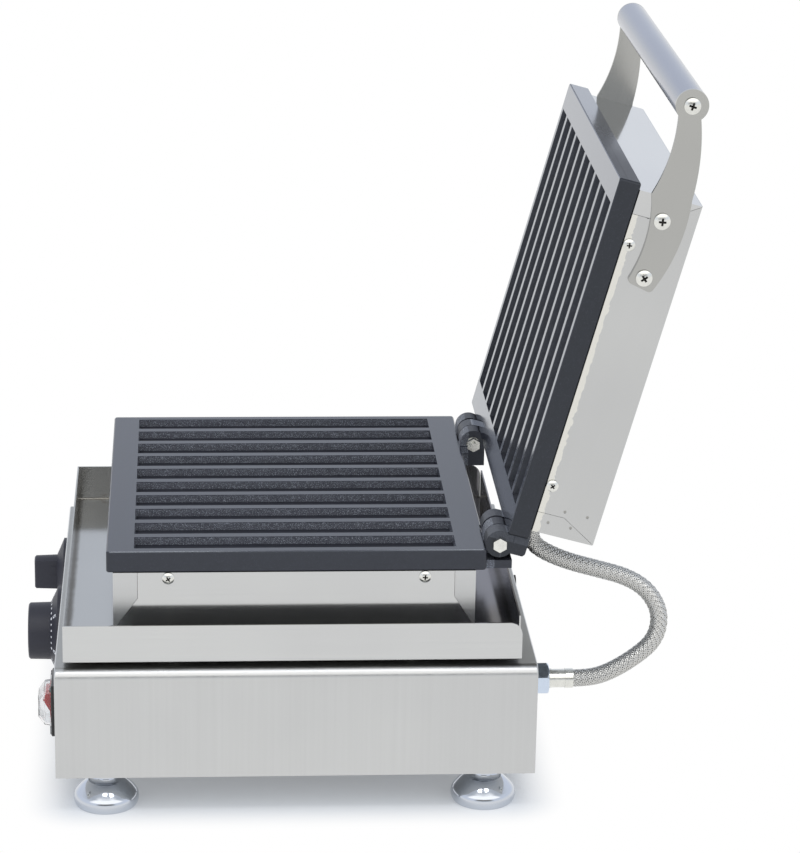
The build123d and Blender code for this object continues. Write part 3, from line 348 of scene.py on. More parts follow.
def shade(colour, factor):
    """A colour made lighter or darker."""
    return tuple(min(1.0, part * factor) for part in colour)


def ramp(value, stops):
    """A colour ramp through (position, colour) stops."""
    node = add_node(value.id_data, "ShaderNodeValToRGB", Fac=value)
    elements = node.color_ramp.elements
    while len(elements) < len(stops):
        elements.new(0.5)
    for element, (position, colour) in zip(elements, stops):
        element.position = position
        element.color = (*colour, 1)
    return node.outputs["Color"]


def mottle(value, colour, darkest, lightest):
    """A colour that a noise makes darker and lighter."""
    stops = [(usual_low, shade(colour, darkest)), (usual_high, shade(colour, lightest))]
    return ramp(value, stops)


def spread(value, low, high):
    """Stretch a noise to the range from low to high."""
    node = add_node(value.id_data, "ShaderNodeMapRange", Value=value, To_Min=low, To_Max=high)
    return set_up(node, From_Min=usual_low, From_Max=usual_high).outputs["Result"]


def bump(shader, height, strength, distance):
    """Raise the surface by a height, on top of any relief that the shader has."""
    node = add_node(shader.id_data, "ShaderNodeBump", Height=height, Distance=distance)
    set_up(node, Strength=strength)
    for earlier in shader.inputs["Normal"].links:
        set_up(node, Normal=earlier.from_socket)
    set_up(shader, Normal=node.outputs["Normal"])
    return node


steel = (0.60, 0.605, 0.60)
print("sheet steel reflects about", steel[0], "of the light")

# %% [markdown]
# ## Satin sheet steel
# The base, the tray and the boxes are folded from satin stainless sheet. Its rolling
# grain is a fine noise drawn out along one axis, and a broad, faint cloud keeps large
# panels from looking printed. The grain moves the colour by one or two per cent only. Low
# down the sheets are slightly less metallic, as under a thin film of grease.

# %% Satin sheet steel
def mix_colours(factor, first, second, blend="MIX"):
    """Mix colours, which are sockets or tuples, by a socket or number."""
    tree = next(value.id_data for value in (factor, first) if not isinstance(value, float))
    node = add_node(tree, "ShaderNodeMix", data_type="RGBA", blend_type=blend, Factor=factor)
    first, second = (c if not isinstance(c, tuple) else (*c, 1) for c in (first, second))
    return set_up(node, A=first, B=second).outputs["Result"]


def satin_sheet(name, colour, roughness, grain_scale, lean=0.0, contrast=0.012, relief=0.015):
    """Sheet steel whose grain runs along the axis that has the small scale."""
    material, tree, shader = new_finish(name)
    grain = noise(placed_coordinates(tree, grain_scale, lean), 1.0, 4.0, 0.65)
    cloud = noise(placed_coordinates(tree, unsqueezed, lean), 9.0, 2.0, 0.5)
    fine = mottle(grain, colour, 1 - contrast, 1 + contrast)
    broad = ramp(cloud, [(usual_low, (0.95, 0.95, 0.955)), (usual_high, (1, 1, 1))])
    clouded = mix_colours(1.0, fine, broad, "MULTIPLY")
    uneven = spread(grain, roughness * 0.85, roughness * 1.15)
    set_up(shader, Base_Color=clouded, Roughness=uneven, Metallic=1.0)
    bump(shader, grain, relief, 0.0002)
    return material


upright_grain, lengthwise_grain, crosswise_grain = (260, 260, 3), (700, 5, 700), (5, 700, 700)
panel_satin = satin_sheet("base_satin_steel", steel, 0.33, upright_grain, contrast=0.022)
tray_satin = satin_sheet(
    "tray_satin_steel", shade(steel, 1.03), 0.12, lengthwise_grain, relief=0.02
)
flap_satin = satin_sheet("box_flap_satin_steel", shade(steel, 1.06), 0.42, lengthwise_grain)
box_satin = satin_sheet("box_satin_steel", shade(steel, 1.02), 0.13, lengthwise_grain)
lid_satin = satin_sheet("lid_box_satin_steel", shade(steel, 0.94), 0.18, lengthwise_grain, lid_lean)
end_satin = satin_sheet("lid_end_satin_steel", steel, 0.10, crosswise_grain, lid_lean)
arm_satin = satin_sheet(
    "arm_satin_steel", (0.45, 0.45, 0.43), 0.20, lengthwise_grain, lid_lean, 0.015
)
tube_polish = satin_sheet(
    "handle_polished_steel", (0.33, 0.35, 0.405), 0.17, crosswise_grain, 0.0, 0.02, 0.02
)
filmed_sheets = (box_satin, flap_satin, tray_satin, panel_satin)
for material in filmed_sheets:
    set_up(parts_of(material)[1], Metallic=0.94)
print("8 sheet finishes,", len(filmed_sheets), "of them under a film")

# %% [markdown]
# ## Masks
# A stain, a rubbed face or painted shade covers only part of a piece. Instead of being drawn in an
# image, each mask is worked out in the material, from where a point lies and which way its face
# looks, by small steps of arithmetic that give 1 inside and 0 outside. The first one darkens the
# top of the base with painted shade.

# %% Masks
def number_step(operation, first, second=None, third=None):
    """One step of arithmetic on a socket and other sockets or numbers."""
    tree = first.id_data
    node = add_node(tree, "ShaderNodeMath", operation=operation)
    for value, socket in zip((first, second, third), node.inputs):
        if isinstance(value, (int, float)):
            socket.default_value = value
        elif value is not None:
            tree.links.new(value, socket)
    return node.outputs["Value"]


def product(first, *others):
    """Several masks or numbers multiplied."""
    for other in others:
        first = number_step("MULTIPLY", first, other)
    return first


def above(value, limit):
    return number_step("GREATER_THAN", value, limit)


def below(value, limit):
    return number_step("LESS_THAN", value, limit)


def split_axes(vector):
    """The X, Y and Z of a vector socket."""
    return tuple(add_node(vector.id_data, "ShaderNodeSeparateXYZ", Vector=vector).outputs)


def facing(tree, lean=0.0):
    """How far a face looks along X, Y and Z, turned back with the lid."""
    normal = tree.nodes.new("ShaderNodeTexCoord").outputs["Normal"]
    turned = add_node(tree, "ShaderNodeMapping", vector_type="VECTOR", Vector=normal)
    return split_axes(set_up(turned, Rotation=(lean, 0, 0)).outputs["Vector"])


def multiply_colour(shader, mask, colour):
    """Multiply a shader's base colour by a colour where the mask is 1."""
    source = shader.inputs["Base Color"].links[0].from_socket
    set_up(shader, Base_Color=mix_colours(mask, source, colour, "MULTIPLY"))


# Painted shade: faces of the base that look up are darkened to 0.7 of their colour.
painted_top_shade = (0.70, 0.69, 0.66)
tree, shader = parts_of(panel_satin)
looks_up = above(facing(tree)[2], 0.95)
multiply_colour(shader, looks_up, painted_top_shade)
print("the base's top keeps", painted_top_shade[0], "of its sides' brightness")

# %% [markdown]
# ## Tray walls and floor
# The tray's sheet is coloured differently on each of its faces. Painted shade darkens its rim, its
# floor, which lies under the plate, to three quarters of the walls, and the back of the tray, which
# lies in the shade behind the box. The front wall's inner face is a darker brown. Height and facing
# tell these places apart.

# %% Tray walls and floor
def fade_between(value, zero_at, one_at, lowest=0.0):
    """From lowest to 1, smoothly, as a value goes from zero_at to one_at."""
    node = add_node(value.id_data, "ShaderNodeMapRange", interpolation_type="SMOOTHSTEP")
    (low, to_low), (high, to_high) = sorted(((zero_at, lowest), (one_at, 1.0)))
    set_up(node, Value=value, From_Min=low, From_Max=high, To_Min=to_low, To_Max=to_high)
    return node.outputs["Result"]


tray_low, tray_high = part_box("drip_tray")
tree, shader = parts_of(tray_satin)
facing_x, facing_y, facing_z = facing(tree)
spot = placed_coordinates(tree)
spot_x, spot_y, spot_z = split_axes(spot)
on_floor = product(above(facing_z, 0.12), below(spot_z, tray_low.z + 0.008))
on_rim = product(above(facing_z, 0.6), above(spot_z, tray_low.z + 0.02))
inside_front = product(above(facing_y, 0.5), below(spot_y, tray_low.y + 0.02))
behind_box = product(
    fade_between(spot_y, tray_high.y - 0.062, tray_high.y - 0.045),
    below(facing_x, 0.5), below(facing_y, 0.5),
)
# Painted shade on the rim, on the floor under the plate and on the back behind the box; the front
# wall's inner face is darker brown.
multiply_colour(shader, on_rim, painted_top_shade)
multiply_colour(shader, on_floor, (0.76, 0.76, 0.75))
multiply_colour(shader, inside_front, (0.36, 0.33, 0.30))
multiply_colour(shader, behind_box, (0.45, 0.43, 0.47))
print("the tray's walls stand", round(tray_high.z - tray_low.z, 4), "m high")

# %% [markdown]
# ## Darker edges and stains in the tray
# The tray's floor is a darker brown within a few millimetres of its walls, and has brown stains in
# its far corners. Both follow the distance to the tray's outline, made ragged by a noise. The front
# end of its near wall is ground, which leaves a rougher patch.

# %% Darker edges and stains in the tray
def vector_step(operation, first, second=None):
    """One step of vector arithmetic, on a socket and a fixed vector."""
    tree = first.id_data
    node = add_node(tree, "ShaderNodeVectorMath", operation=operation)
    tree.links.new(first, node.inputs[0])
    if second is not None:
        node.inputs[1].default_value = second
    return node.outputs["Value" if operation == "LENGTH" else "Vector"]


tray_middle, tray_half = (tray_low + tray_high) / 2, (tray_high - tray_low) / 2
offset = vector_step("ABSOLUTE", vector_step("SUBTRACT", spot, tuple(tray_middle)))
from_x, from_y, _ = split_axes(offset)
to_outline = number_step(
    "MAXIMUM",
    number_step("SUBTRACT", from_x, tray_half.x),
    number_step("SUBTRACT", from_y, tray_half.y),
)
ragged = number_step("ADD", to_outline, product(noise(spot, 70.0), 0.004))
# The floor is darker along its walls; the spots in the far corners are stains.
floor_edge_darkening = product(fade_between(ragged, -0.004, 0.0005), on_floor)
spots = product(
    fade_between(noise(spot, 45.0, 5.0, 0.7), 0.56, 0.66),
    fade_between(to_outline, -0.02, -0.004),
    fade_between(spot_x, tray_low.x + 0.06, tray_low.x + 0.03), on_floor,
)
multiply_colour(shader, floor_edge_darkening, (0.36, 0.34, 0.31))
multiply_colour(shader, spots, (0.55, 0.45, 0.36))
ground_end = product(
    above(facing_x, 0.9),
    fade_between(spot_y, tray_low.y + 0.018, tray_low.y + 0.012),
)
bump(shader, product(noise(spot, 800.0, 2.0), ground_end), 0.30, 0.0002)
print("tray stains lie within 20 mm of its walls")

# %% [markdown]
# ## Weld dimples
# The lid's box is spot welded, which leaves small round dimples near its ends. They are
# too shallow to model. Each is a disc of darker metal, drawn by its distance in the box's
# own turned-back coordinates, so that it stays on the box as the box leans.

# %% Weld dimples
dimple_rim, dimple_floor = 0.0016, 0.0007


def leaned_box(node):
    """Lowest and highest corner of a node of the lid when it is turned back level."""
    back = Matrix.Rotation(lid_lean, 3, "X")
    corners = [back @ vertex.co for vertex in nodes[node].data.vertices]
    return [Vector(f(corner[i] for corner in corners) for i in range(3)) for f in (min, max)]


shell_low, shell_high = leaned_box("upper_box_shell")
weld_places = [
    (shell_high.y - 0.0095, shell_low.z + 0.010), (shell_high.y - 0.0095, shell_low.z + 0.028),
    (shell_high.y - 0.021, shell_low.z + 0.020), (shell_high.y - 0.021, shell_low.z + 0.038),
    (shell_low.y + 0.009, shell_low.z + 0.015), (shell_low.y + 0.018, shell_low.z + 0.012),
]
tree, shader = parts_of(lid_satin)
spot = placed_coordinates(tree, unsqueezed, lid_lean)
dimples = None
for weld_y, weld_z in weld_places:
    from_weld = vector_step("SUBTRACT", spot, (0, weld_y, weld_z))
    away = vector_step("LENGTH", vector_step("MULTIPLY", from_weld, (0, 1, 1)))
    dimple = fade_between(away, dimple_rim, dimple_floor)
    dimples = dimple if dimples is None else number_step("MAXIMUM", dimples, dimple)
multiply_colour(shader, dimples, (0.62, 0.61, 0.58))
print(len(weld_places), "dimples on each side of the lid's box")

# %% [markdown]
# ## Joint beside the lid's plate
# The joint between the lid's box and its plate is filled with a pale line, laid by hand.
# A noise added to the height of a point makes its edge wander, and another one gives it
# lumps, which share one relief with the dimples.

# %% Joint beside the lid's plate
_, _, spot_z = split_axes(spot)
wavy = number_step("ADD", spot_z, product(noise(spot, 140.0), -0.007))
filler = fade_between(wavy, shell_low.z + 0.0014, shell_low.z + 0.0006)
bare_sheet = shader.inputs["Base Color"].links[0].from_socket
set_up(shader, Base_Color=mix_colours(filler, bare_sheet, (0.74, 0.73, 0.68)))
lumps = product(filler, noise(spot, 500.0))
bump(shader, number_step("SUBTRACT", lumps, dimples), 0.35, 0.0006)
print("the box starts at", round(shell_low.z, 4), "m when it is turned back level")

# %% [markdown]
# ## Faces of the cast plates
# The plates are cast iron. Their cooking faces are rubbed smooth, while channels, sides
# and backs keep the sandy skin of the casting. To tell these apart, the heights of the
# cooking face and of the channel floors are read from each plate's mesh: they are its two
# outermost flat levels with a large area.

# %% Faces of the cast plates
def rubbed_level(node, lean, side):
    """Height and back end of a plate's cooking face, and its channel floors' height.

    Turned back level, the cooking face looks up (side 1) or down (side -1).
    """
    back = Matrix.Rotation(lean, 3, "X")
    levels = {}
    for polygon in nodes[node].data.polygons:
        if (back @ polygon.normal).z * side > 0.99:
            place = back @ polygon.center
            levels.setdefault(round(place.z, 4), []).append((polygon.area, place.y))
    faces = {
        height: spots for height, spots in levels.items() if sum(area for area, _ in spots) > 0.003
    }
    level = side * max(side * height for height in faces)
    floor = side * max(side * height for height in faces if side * (level - height) > 0.003)
    return level, max(y for _, y in faces[level]), floor


level, _, floor = rubbed_level("lower_plate", 0.0, 1)
print("the lower plate's channels are", round(level - floor, 4), "m deep")

# %% [markdown]
# ## Masks of the cast plates
# Three masks tell rubbed faces, channels and channel floors apart; what is left is the
# outside. The end of a plate wears smooth too, but less and less towards the far side, so
# its wear fades along X with a ragged edge.

# %% Masks of the cast plates
level_slack, floor_slack = 0.0004, 0.0005


def plate_masks(tree, spot, coarse, node, lean, side):
    """Where a plate is rubbed, where its channels are, and where their floors are."""
    level, back, floor = rubbed_level(node, lean, side)
    near_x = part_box(node)[1].x
    x, y, z = split_axes(spot)
    ragged = number_step("ADD", x, product(coarse, 0.06))
    looks_out = below(facing(tree, lean)[1], -0.97)
    worn_end = product(looks_out, fade_between(ragged, near_x, -0.4 * near_x))
    on_level = number_step("COMPARE", z, level, level_slack)
    rubbed = number_step("MAXIMUM", on_level, worn_end)
    channels = product(
        below(number_step("ABSOLUTE", x), near_x - 0.002), below(y, back - 0.004)
    )
    return rubbed, channels, number_step("COMPARE", z, floor, floor_slack)


print("a face counts as rubbed within", level_slack, "m of its level")

# %% [markdown]
# ## Coat of the cast plates
# A dull dark coating covers the iron. Two noises make it: a coarse one for the slightly uneven
# coat, and a fine one, cut off high, for specks painted lighter as glints of the grains. The
# channels' walls are painted lighter, as lit from above, and their floors get painted shade. The
# coat isn't a metal, so it shines most where it is seen at a low angle, as the ridge tops do.
# Rubbed faces have hardly any relief.

# %% Coat of the cast plates
coat_grey, side_grey = (0.023, 0.024, 0.036), (0.0155, 0.0160, 0.0235)
painted_lit_channel_grey = (0.066, 0.069, 0.085)


def specks(sand, start):
    """1 on the highest grains of a noise."""
    return ramp(sand, [(start, (0, 0, 0)), (start + 0.08, (1, 1, 1))])


def cast_coat(name, node, lean, side, shine, painted_shade_factor, painted_glint):
    """A sandy coat whose rubbed cooking face is smooth, with painted light and painted glints in
    its channels.
    """
    material, tree, shader = new_finish(name)
    spot = placed_coordinates(tree, unsqueezed, lean)
    coarse = noise(spot, 160.0, 4.0, 0.6)
    sand = noise(spot, 1500.0, 2.0, 0.6)
    rubbed, in_channels, on_floor = plate_masks(tree, spot, coarse, node, lean, side)
    coat = mottle(coarse, coat_grey, 0.92 * painted_shade_factor, 1.10 * painted_shade_factor)
    plain_side = mottle(coarse, side_grey, 0.92 * painted_shade_factor, 1.10 * painted_shade_factor)
    # Painted glints: specks on the outside and in the channels. Painted light: channel walls are
    # lighter, as lit from above; channel floors are painted shade.
    outside = mix_colours(specks(sand, 0.62), plain_side, shade(side_grey, 2.4))
    sandy = mottle(coarse, painted_lit_channel_grey, 0.80 * painted_shade_factor, 1.20 * painted_shade_factor)
    walls = mix_colours(specks(sand, 0.56), sandy, painted_glint)
    channels = mix_colours(on_floor, walls, shade(side_grey, 1.1))
    unrubbed = mix_colours(in_channels, outside, channels)
    rough = mix_colours(rubbed, spread(sand, 0.50, 0.38), (0.14, 0.14, 0.14))
    set_up(shader, Base_Color=mix_colours(rubbed, unrubbed, coat), Roughness=rough)
    set_up(shader, Specular_IOR_Level=shine, Specular_Tint=(0.86, 0.93, 1.0, 1.0))
    sandy_share = number_step("ADD", product(rubbed, -0.97), 1.0)
    for height, strength, distance in ((sand, 0.16, 0.0002), (coarse, 0.12, 0.0004)):
        relief = bump(shader, height, strength, distance)
        set_up(relief, Strength=product(sandy_share, strength))
    return material, rubbed


print("channels are", round(painted_lit_channel_grey[0] / coat_grey[0], 1), "times as light as the coat")

# %% [markdown]
# ## The two plates
# The lower plate's channels get painted light from above and bright painted glints. The lid's plate
# is painted at 0.6 of that brightness, with dull glints, as painted shade, so its grains hardly
# show. A thin clear coat on its rubbed face stands for the baked fat that makes it glossier.

# %% The two plates
plate_coat, _ = cast_coat("plate_cast_coat", "lower_plate", 0.0, 1, 0.68, 1.0, (0.38, 0.41, 0.47))
# Painted shade: the lid's plate is painted at 0.6 of the lower plate's brightness, with dull
# glints.
lid_plate_coat, lid_rubbed = cast_coat(
    "lid_plate_cast_coat", "upper_plate", lid_lean, -1, 0.65, 0.60, (0.07, 0.075, 0.09)
)
_, shader = parts_of(lid_plate_coat)
set_up(shader, Coat_Weight=product(lid_rubbed, 0.6))
set_up(shader, Coat_Roughness=0.12, Coat_Tint=(0.88, 0.92, 1.0, 1.0))
print("the lower plate's coat has", len(plate_coat.node_tree.nodes), "nodes")

# %% [markdown]
# ## Plated metal
# Screws, nuts and the hose fittings are zinc plated: a pale, mottled metal. The feet are
# chromed, so they are nearly a mirror. The wire of the braid and the heating rods are
# bare. All are one recipe with other numbers.

# %% Plated metal
def grained_finish(name, colour, roughness, unevenness, scale, mottling, relief, **sockets):
    """A finish whose colour, roughness and relief all follow one even noise."""
    material, tree, shader = new_finish(name)
    grain = noise(placed_coordinates(tree), scale, 3.0, 0.6)
    mottled = mottle(grain, colour, 1 - mottling, 1 + mottling)
    uneven = spread(grain, *(roughness * factor for factor in unevenness))
    set_up(shader, Base_Color=mottled, Roughness=uneven, **sockets)
    bump(shader, grain, relief, 0.0001)
    return material


def plated_metal(name, colour, roughness, mottling=0.08, scale=220.0):
    """A metal with a thin, slightly blotchy skin."""
    numbers = (roughness, (0.8, 1.3), scale, mottling, 0.08)
    return grained_finish(name, colour, *numbers, Metallic=1.0)


zinc = plated_metal("zinc_plate", (0.76, 0.76, 0.72), 0.22)
blue_zinc = plated_metal("blue_zinc_plate", (0.60, 0.68, 0.80), 0.12, 0.03)
chrome = plated_metal("chrome", (0.60, 0.63, 0.68), 0.10, 0.02, 40.0)
element_alloy = plated_metal("element_alloy", (0.22, 0.21, 0.20), 0.5, 0.2)
wire_metal = plated_metal("braid_wire", (0.60, 0.598, 0.580), 0.24, 0.06, 900.0)
braid_data.materials.append(wire_metal)
print("5 metals; the braid's wire is", wire_metal.name)

# %% [markdown]
# ## Mouldings and boards
# The knobs, the switch and the bushing are moulded, the insulation is pressed board and
# the terminal block is glazed ceramic. They share the even grain of the metals. A clear
# coat makes the rocker and the ceramic glossy, and the splash cover lets light through.

# %% Mouldings and boards
def dull_solid(name, colour, roughness, scale=300.0, relief=0.15, mottling=0.1, **sockets):
    """A moulded or pressed material with a fine even grain."""
    numbers = (roughness, (0.85, 1.15), scale, mottling, relief)
    return grained_finish(name, colour, *numbers, **sockets)


fibre_board = dull_solid("insulation_board", (0.72, 0.69, 0.62), 0.9, 420.0, 0.5)
knob_black = dull_solid("knob_plastic", (0.028, 0.029, 0.042), 0.50, 900.0, 0.2)
bezel_black = dull_solid("bezel_plastic", (0.010, 0.010, 0.011), 0.30, 900.0, 0.1)
bushing_black = dull_solid("bushing_nylon", (0.012, 0.012, 0.012), 0.5, 600.0)
rocker_red = dull_solid("rocker_red", (0.62, 0.028, 0.03), 0.22, 200.0, 0.05, 0.05, Coat_Weight=0.4)
switch_cream = dull_solid("switch_mouldings", (0.62, 0.60, 0.52), 0.45, 500.0)
ceramic_white = dull_solid(
    "terminal_ceramic", (0.80, 0.78, 0.72), 0.25, 300.0, 0.1, 0.04, Coat_Weight=0.5
)
core_dark = dull_solid("hose_core", (0.17, 0.17, 0.165), 0.5, 900.0)
mark_white = dull_solid("dial_marks", (0.95, 0.95, 0.97), 0.5, 900.0, 0.05, 0.03)
# Painted shade for the walls of the screws' recesses.
painted_recess_shade = dull_solid("painted_recess_shade", (0.060, 0.056, 0.050), 0.6, 900.0, 0.2)
clear_cover = dull_solid(
    "splash_cover", (0.93, 0.94, 0.95), 0.12, 120.0, 0.08, 0.02, Transmission_Weight=1.0, IOR=1.38
)
braid_data.materials.append(core_dark)
print("11 mouldings and boards; the hose has", len(braid_data.materials), "materials")

# %% [markdown]
# ## Which piece has which finish
# Each CAD node keeps its shape and gets its finish here. A node's mesh is loose
# triangles, so a smooth-by-angle pass would do nothing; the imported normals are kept.
# Whatever isn't in the table is a bolt, a nut or a fitting, and is zinc plated.

# %% Which piece has which finish
finish_of = {
    "base_housing": panel_satin, "bottom_cover": panel_satin, "drip_tray": tray_satin,
    "lower_box_shell": box_satin, "lower_box_front_panel": flap_satin,
    "lower_box_back_panel": flap_satin, "upper_box_shell": lid_satin,
    "upper_box_front_panel": end_satin, "upper_box_back_panel": lid_satin,
    "handle_arm_left": arm_satin, "handle_arm_right": arm_satin, "handle_tube": tube_polish,
    "lower_plate": plate_coat, "upper_plate": lid_plate_coat,
    "foot_front_left": chrome, "foot_front_right": chrome,
    "foot_back_left": chrome, "foot_back_right": chrome,
    "hose_nut": blue_zinc, "hose_locknut": blue_zinc,
    "lower_element": element_alloy, "upper_element": element_alloy,
    "lower_insulation": fibre_board, "upper_insulation": fibre_board,
    "timer_knob": knob_black, "thermostat_knob": knob_black, "switch_body": bezel_black,
    "switch_rocker": rocker_red, "switch_cover": clear_cover, "cord_bushing": bushing_black,
    "timer_body": switch_cream, "thermostat_body": switch_cream, "terminal_block": ceramic_white,
}
for name, node in nodes.items():
    node.data.materials.clear()
    node.data.materials.append(finish_of.get(name, zinc))
print(len(finish_of), "nodes have their own finish and", len(nodes) - len(finish_of), "are zinc")

# %% [markdown]
# ## Copies of the screws
# Every screw has a domed head with a cross recess for a driver. The recess has to be cut,
# and a CAD node may not be changed, so a copy is cut and stands in for the node. The
# node's triangles are loose: the copy is merged first, because a Boolean modifier needs
# closed shells. Its loose parts are then the single screws.

# %% Copies of the screws
def pick(piece):
    """Make one object the selected and active one."""
    drop_selection()
    piece.select_set(True)
    bpy.context.view_layer.objects.active = piece


def merged_copy(node, name):
    """A copy of a node whose loose triangles are merged and lose their packed normals."""
    piece = nodes[node].copy()
    piece.data = nodes[node].data.copy()
    piece.name = name
    bpy.context.scene.collection.objects.link(piece)
    pick(piece)
    bpy.ops.object.mode_set(mode="EDIT")
    bpy.ops.mesh.select_all(action="SELECT")
    bpy.ops.mesh.remove_doubles(threshold=0.000002)
    bpy.ops.mesh.customdata_custom_splitnormals_clear()
    bpy.ops.object.mode_set(mode="OBJECT")
    return piece


def loose_parts(mesh):
    """Lowest and highest corner of every loose part."""
    shape = bmesh.new()
    shape.from_mesh(mesh)
    left = set(shape.verts)
    parts = []
    while left:
        border, island = [left.pop()], []
        while border:
            vertex = border.pop()
            island.append(vertex.co.copy())
            for other in (edge.other_vert(vertex) for edge in vertex.link_edges):
                if other in left:
                    left.discard(other)
                    border.append(other)
        parts.append([Vector(f(c[i] for c in island) for i in range(3)) for f in (min, max)])
    shape.free()
    return sorted(parts, key=lambda part: tuple(part[0]))


screw_bodies = {
    "arm_screws": "lid", "tube_screws": "lid", "upper_box_screws": "lid",
    "lower_box_screws": "base", "cover_screws": "base",
}
print(len(screw_bodies), "nodes of screws get recesses")

# %% [markdown]
# ## Cross cutter
# The cutter has the shape of a driver's tip. It starts as a cube as thick as one blade.
# Its four upright faces are extruded together into a cross, and its foot is drawn in by
# half. It stands a little proud of the head, because a Boolean modifier is unsure of
# faces that lie in one plane.

# %% Cross cutter
cutter_head = 0.001


def cross_cutter(span, thickness, depth):
    """A cross that points up, from depth below its origin to cutter_head above it."""
    drop_selection()
    bpy.ops.mesh.primitive_cube_add(size=1, location=(0, 0, 0))
    cutter = bpy.context.object
    bpy.ops.object.mode_set(mode="EDIT")
    bpy.ops.transform.resize(value=(thickness, thickness, depth + cutter_head))
    bpy.ops.transform.translate(value=(0, 0, (cutter_head - depth) / 2))
    bpy.ops.mesh.select_all(action="DESELECT")
    bpy.ops.object.mode_set(mode="OBJECT")
    for polygon in cutter.data.polygons:
        polygon.select = abs(polygon.normal.z) < 0.5
    bpy.ops.object.mode_set(mode="EDIT")
    reach = (span - thickness) / 2
    bpy.ops.mesh.extrude_faces_move(TRANSFORM_OT_shrink_fatten={"value": reach})
    bpy.ops.mesh.select_all(action="DESELECT")
    bpy.ops.object.mode_set(mode="OBJECT")
    for vertex in cutter.data.vertices:
        vertex.select = vertex.co.z < -depth / 2
    bpy.ops.object.mode_set(mode="EDIT")
    bpy.ops.transform.resize(value=(0.5, 0.5, 1), center_override=(0, 0, -depth))
    bpy.ops.object.mode_set(mode="OBJECT")
    return cutter


print("a cutter stands", cutter_head, "m proud of the head that it cuts")

# %% [markdown]
# ## Recesses
# A cutter stands on each head, with a turn of its own, because screws stop at any angle.
# It carries a dark second material for the walls of the recess, painted shade for the inside of the
# recess. The cutters are joined, so one Boolean cuts all the screws of a node at once.


def head_of(node, low, high):
    """Top of a screw's head, its radius and the way it looks."""
    middle = (low + high) / 2
    if node == "cover_screws":
        return Vector((middle.x, middle.y, low.z)), (high.x - low.x) / 2, Vector((0, 0, -1))
    way, tip = (1, high.x) if middle.x > 0 else (-1, low.x)
    return Vector((tip, middle.y, middle.z)), (high.y - low.y) / 2, Vector((way, 0, 0))


def give_screw_materials(piece):
    piece.data.materials.append(zinc)
    piece.data.materials.append(painted_recess_shade)


def place_cutter(index, place, head_radius, outward):
    """A cutter on one head."""
    cutter = cross_cutter(1.15 * head_radius, 0.32 * head_radius, 0.42 * head_radius)
    give_screw_materials(cutter)
    for polygon in cutter.data.polygons:
        polygon.material_index = 1
    turned = Matrix.Rotation(0.35 + 0.9 * index, 4, "Z")
    aimed = outward.to_track_quat("Z", "Y").to_matrix().to_4x4()
    cutter.data.transform(Matrix.Translation(place) @ aimed @ turned)
    return cutter


def join_pieces(pieces):
    """Join objects into the first of them."""
    pick(pieces[0])
    for piece in pieces:
        piece.select_set(True)
    bpy.ops.object.join()
    return bpy.context.object


def cut_recesses(node, name, body):
    """Replace a node's screws by ones with cross recesses."""
    piece = merged_copy(node, name)
    piece.data.materials.clear()
    give_screw_materials(piece)
    cutters = [
        place_cutter(index, *head_of(node, low, high))
        for index, (low, high) in enumerate(loose_parts(piece.data))
    ]
    joined = join_pieces(cutters)
    pick(piece)
    recess = piece.modifiers.new("recess", "BOOLEAN")
    recess.operation, recess.solver, recess.object = "DIFFERENCE", "EXACT", joined
    bpy.ops.object.modifier_apply(modifier="recess")
    bpy.ops.object.shade_smooth_by_angle(angle=radians(32))
    bpy.data.objects.remove(joined)
    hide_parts(node)
    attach(piece, body)
    print(name, "has", len(cutters), "recesses and", len(piece.data.polygons), "faces")


for node, body in screw_bodies.items():
    cut_recesses(node, node + "_recessed", body)

# %% [markdown]
# ## Marks of the dials
# The skirts of the two knobs carry white printed scales. A texture would need an unwrapped
# skirt and blurs when seen close; marks of flat mesh stay sharp. Dots are filled circles,
# ticks are narrow planes cut so that they can bend, and digits are text made into mesh.

# %% Marks of the dials
def add_dot(radius):
    drop_selection()
    bpy.ops.mesh.primitive_circle_add(
        vertices=12, radius=radius, fill_type="NGON", location=(0, 0, 0)
    )
    return bpy.context.object


def add_tick(width, length):
    drop_selection()
    bpy.ops.mesh.primitive_plane_add(size=1, location=(0, 0, 0))
    tick = bpy.context.object
    bpy.ops.object.mode_set(mode="EDIT")
    bpy.ops.transform.resize(value=(width, length, 1))
    bpy.ops.mesh.subdivide(number_cuts=2)
    bpy.ops.object.mode_set(mode="OBJECT")
    return tick


def add_digits(number, size):
    drop_selection()
    bpy.ops.object.text_add(location=(0, 0, 0))
    digits = bpy.context.object
    digits.data.body = str(number)
    digits.data.size = size
    digits.data.offset = 0.02 * size
    digits.data.align_x, digits.data.align_y = "CENTER", "CENTER"
    bpy.ops.object.convert(target="MESH")
    return bpy.context.object


front_y = base_low.y
print("the dials stand in front of y =", round(front_y, 4))

# %% [markdown]
# ## Wrapping marks on a skirt
# A knob's skirt is a shallow cone round its shaft. Each mark is bent round it vertex by
# vertex: its width becomes an angle, its height a radius, and the slope of the cone gives
# how far it stands out from the panel. It lies a twentieth of a millimetre proud of the
# skirt, so that the two surfaces don't flicker.

# %% Wrapping marks on a skirt
skirt_edge, skirt_rise, print_height = 0.0040, 0.0060, 0.00006


def wrap_on_skirt(piece, knob, angle, radius, skirt):
    """Wrap a flat piece, upright at the origin, on a skirt at that angle and radius."""
    low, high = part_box(knob)
    centre = (low + high) / 2
    outer, inner = skirt
    for vertex in piece.data.vertices:
        along, outwards = vertex.co.x, vertex.co.y
        reach = radius + outwards
        turn = angle - along / radius
        share = (outer - reach) / (outer - inner)
        forward = skirt_edge + skirt_rise * share + print_height
        vertex.co = (centre.x + reach * cos(turn), front_y - forward, centre.z + reach * sin(turn))
    return piece


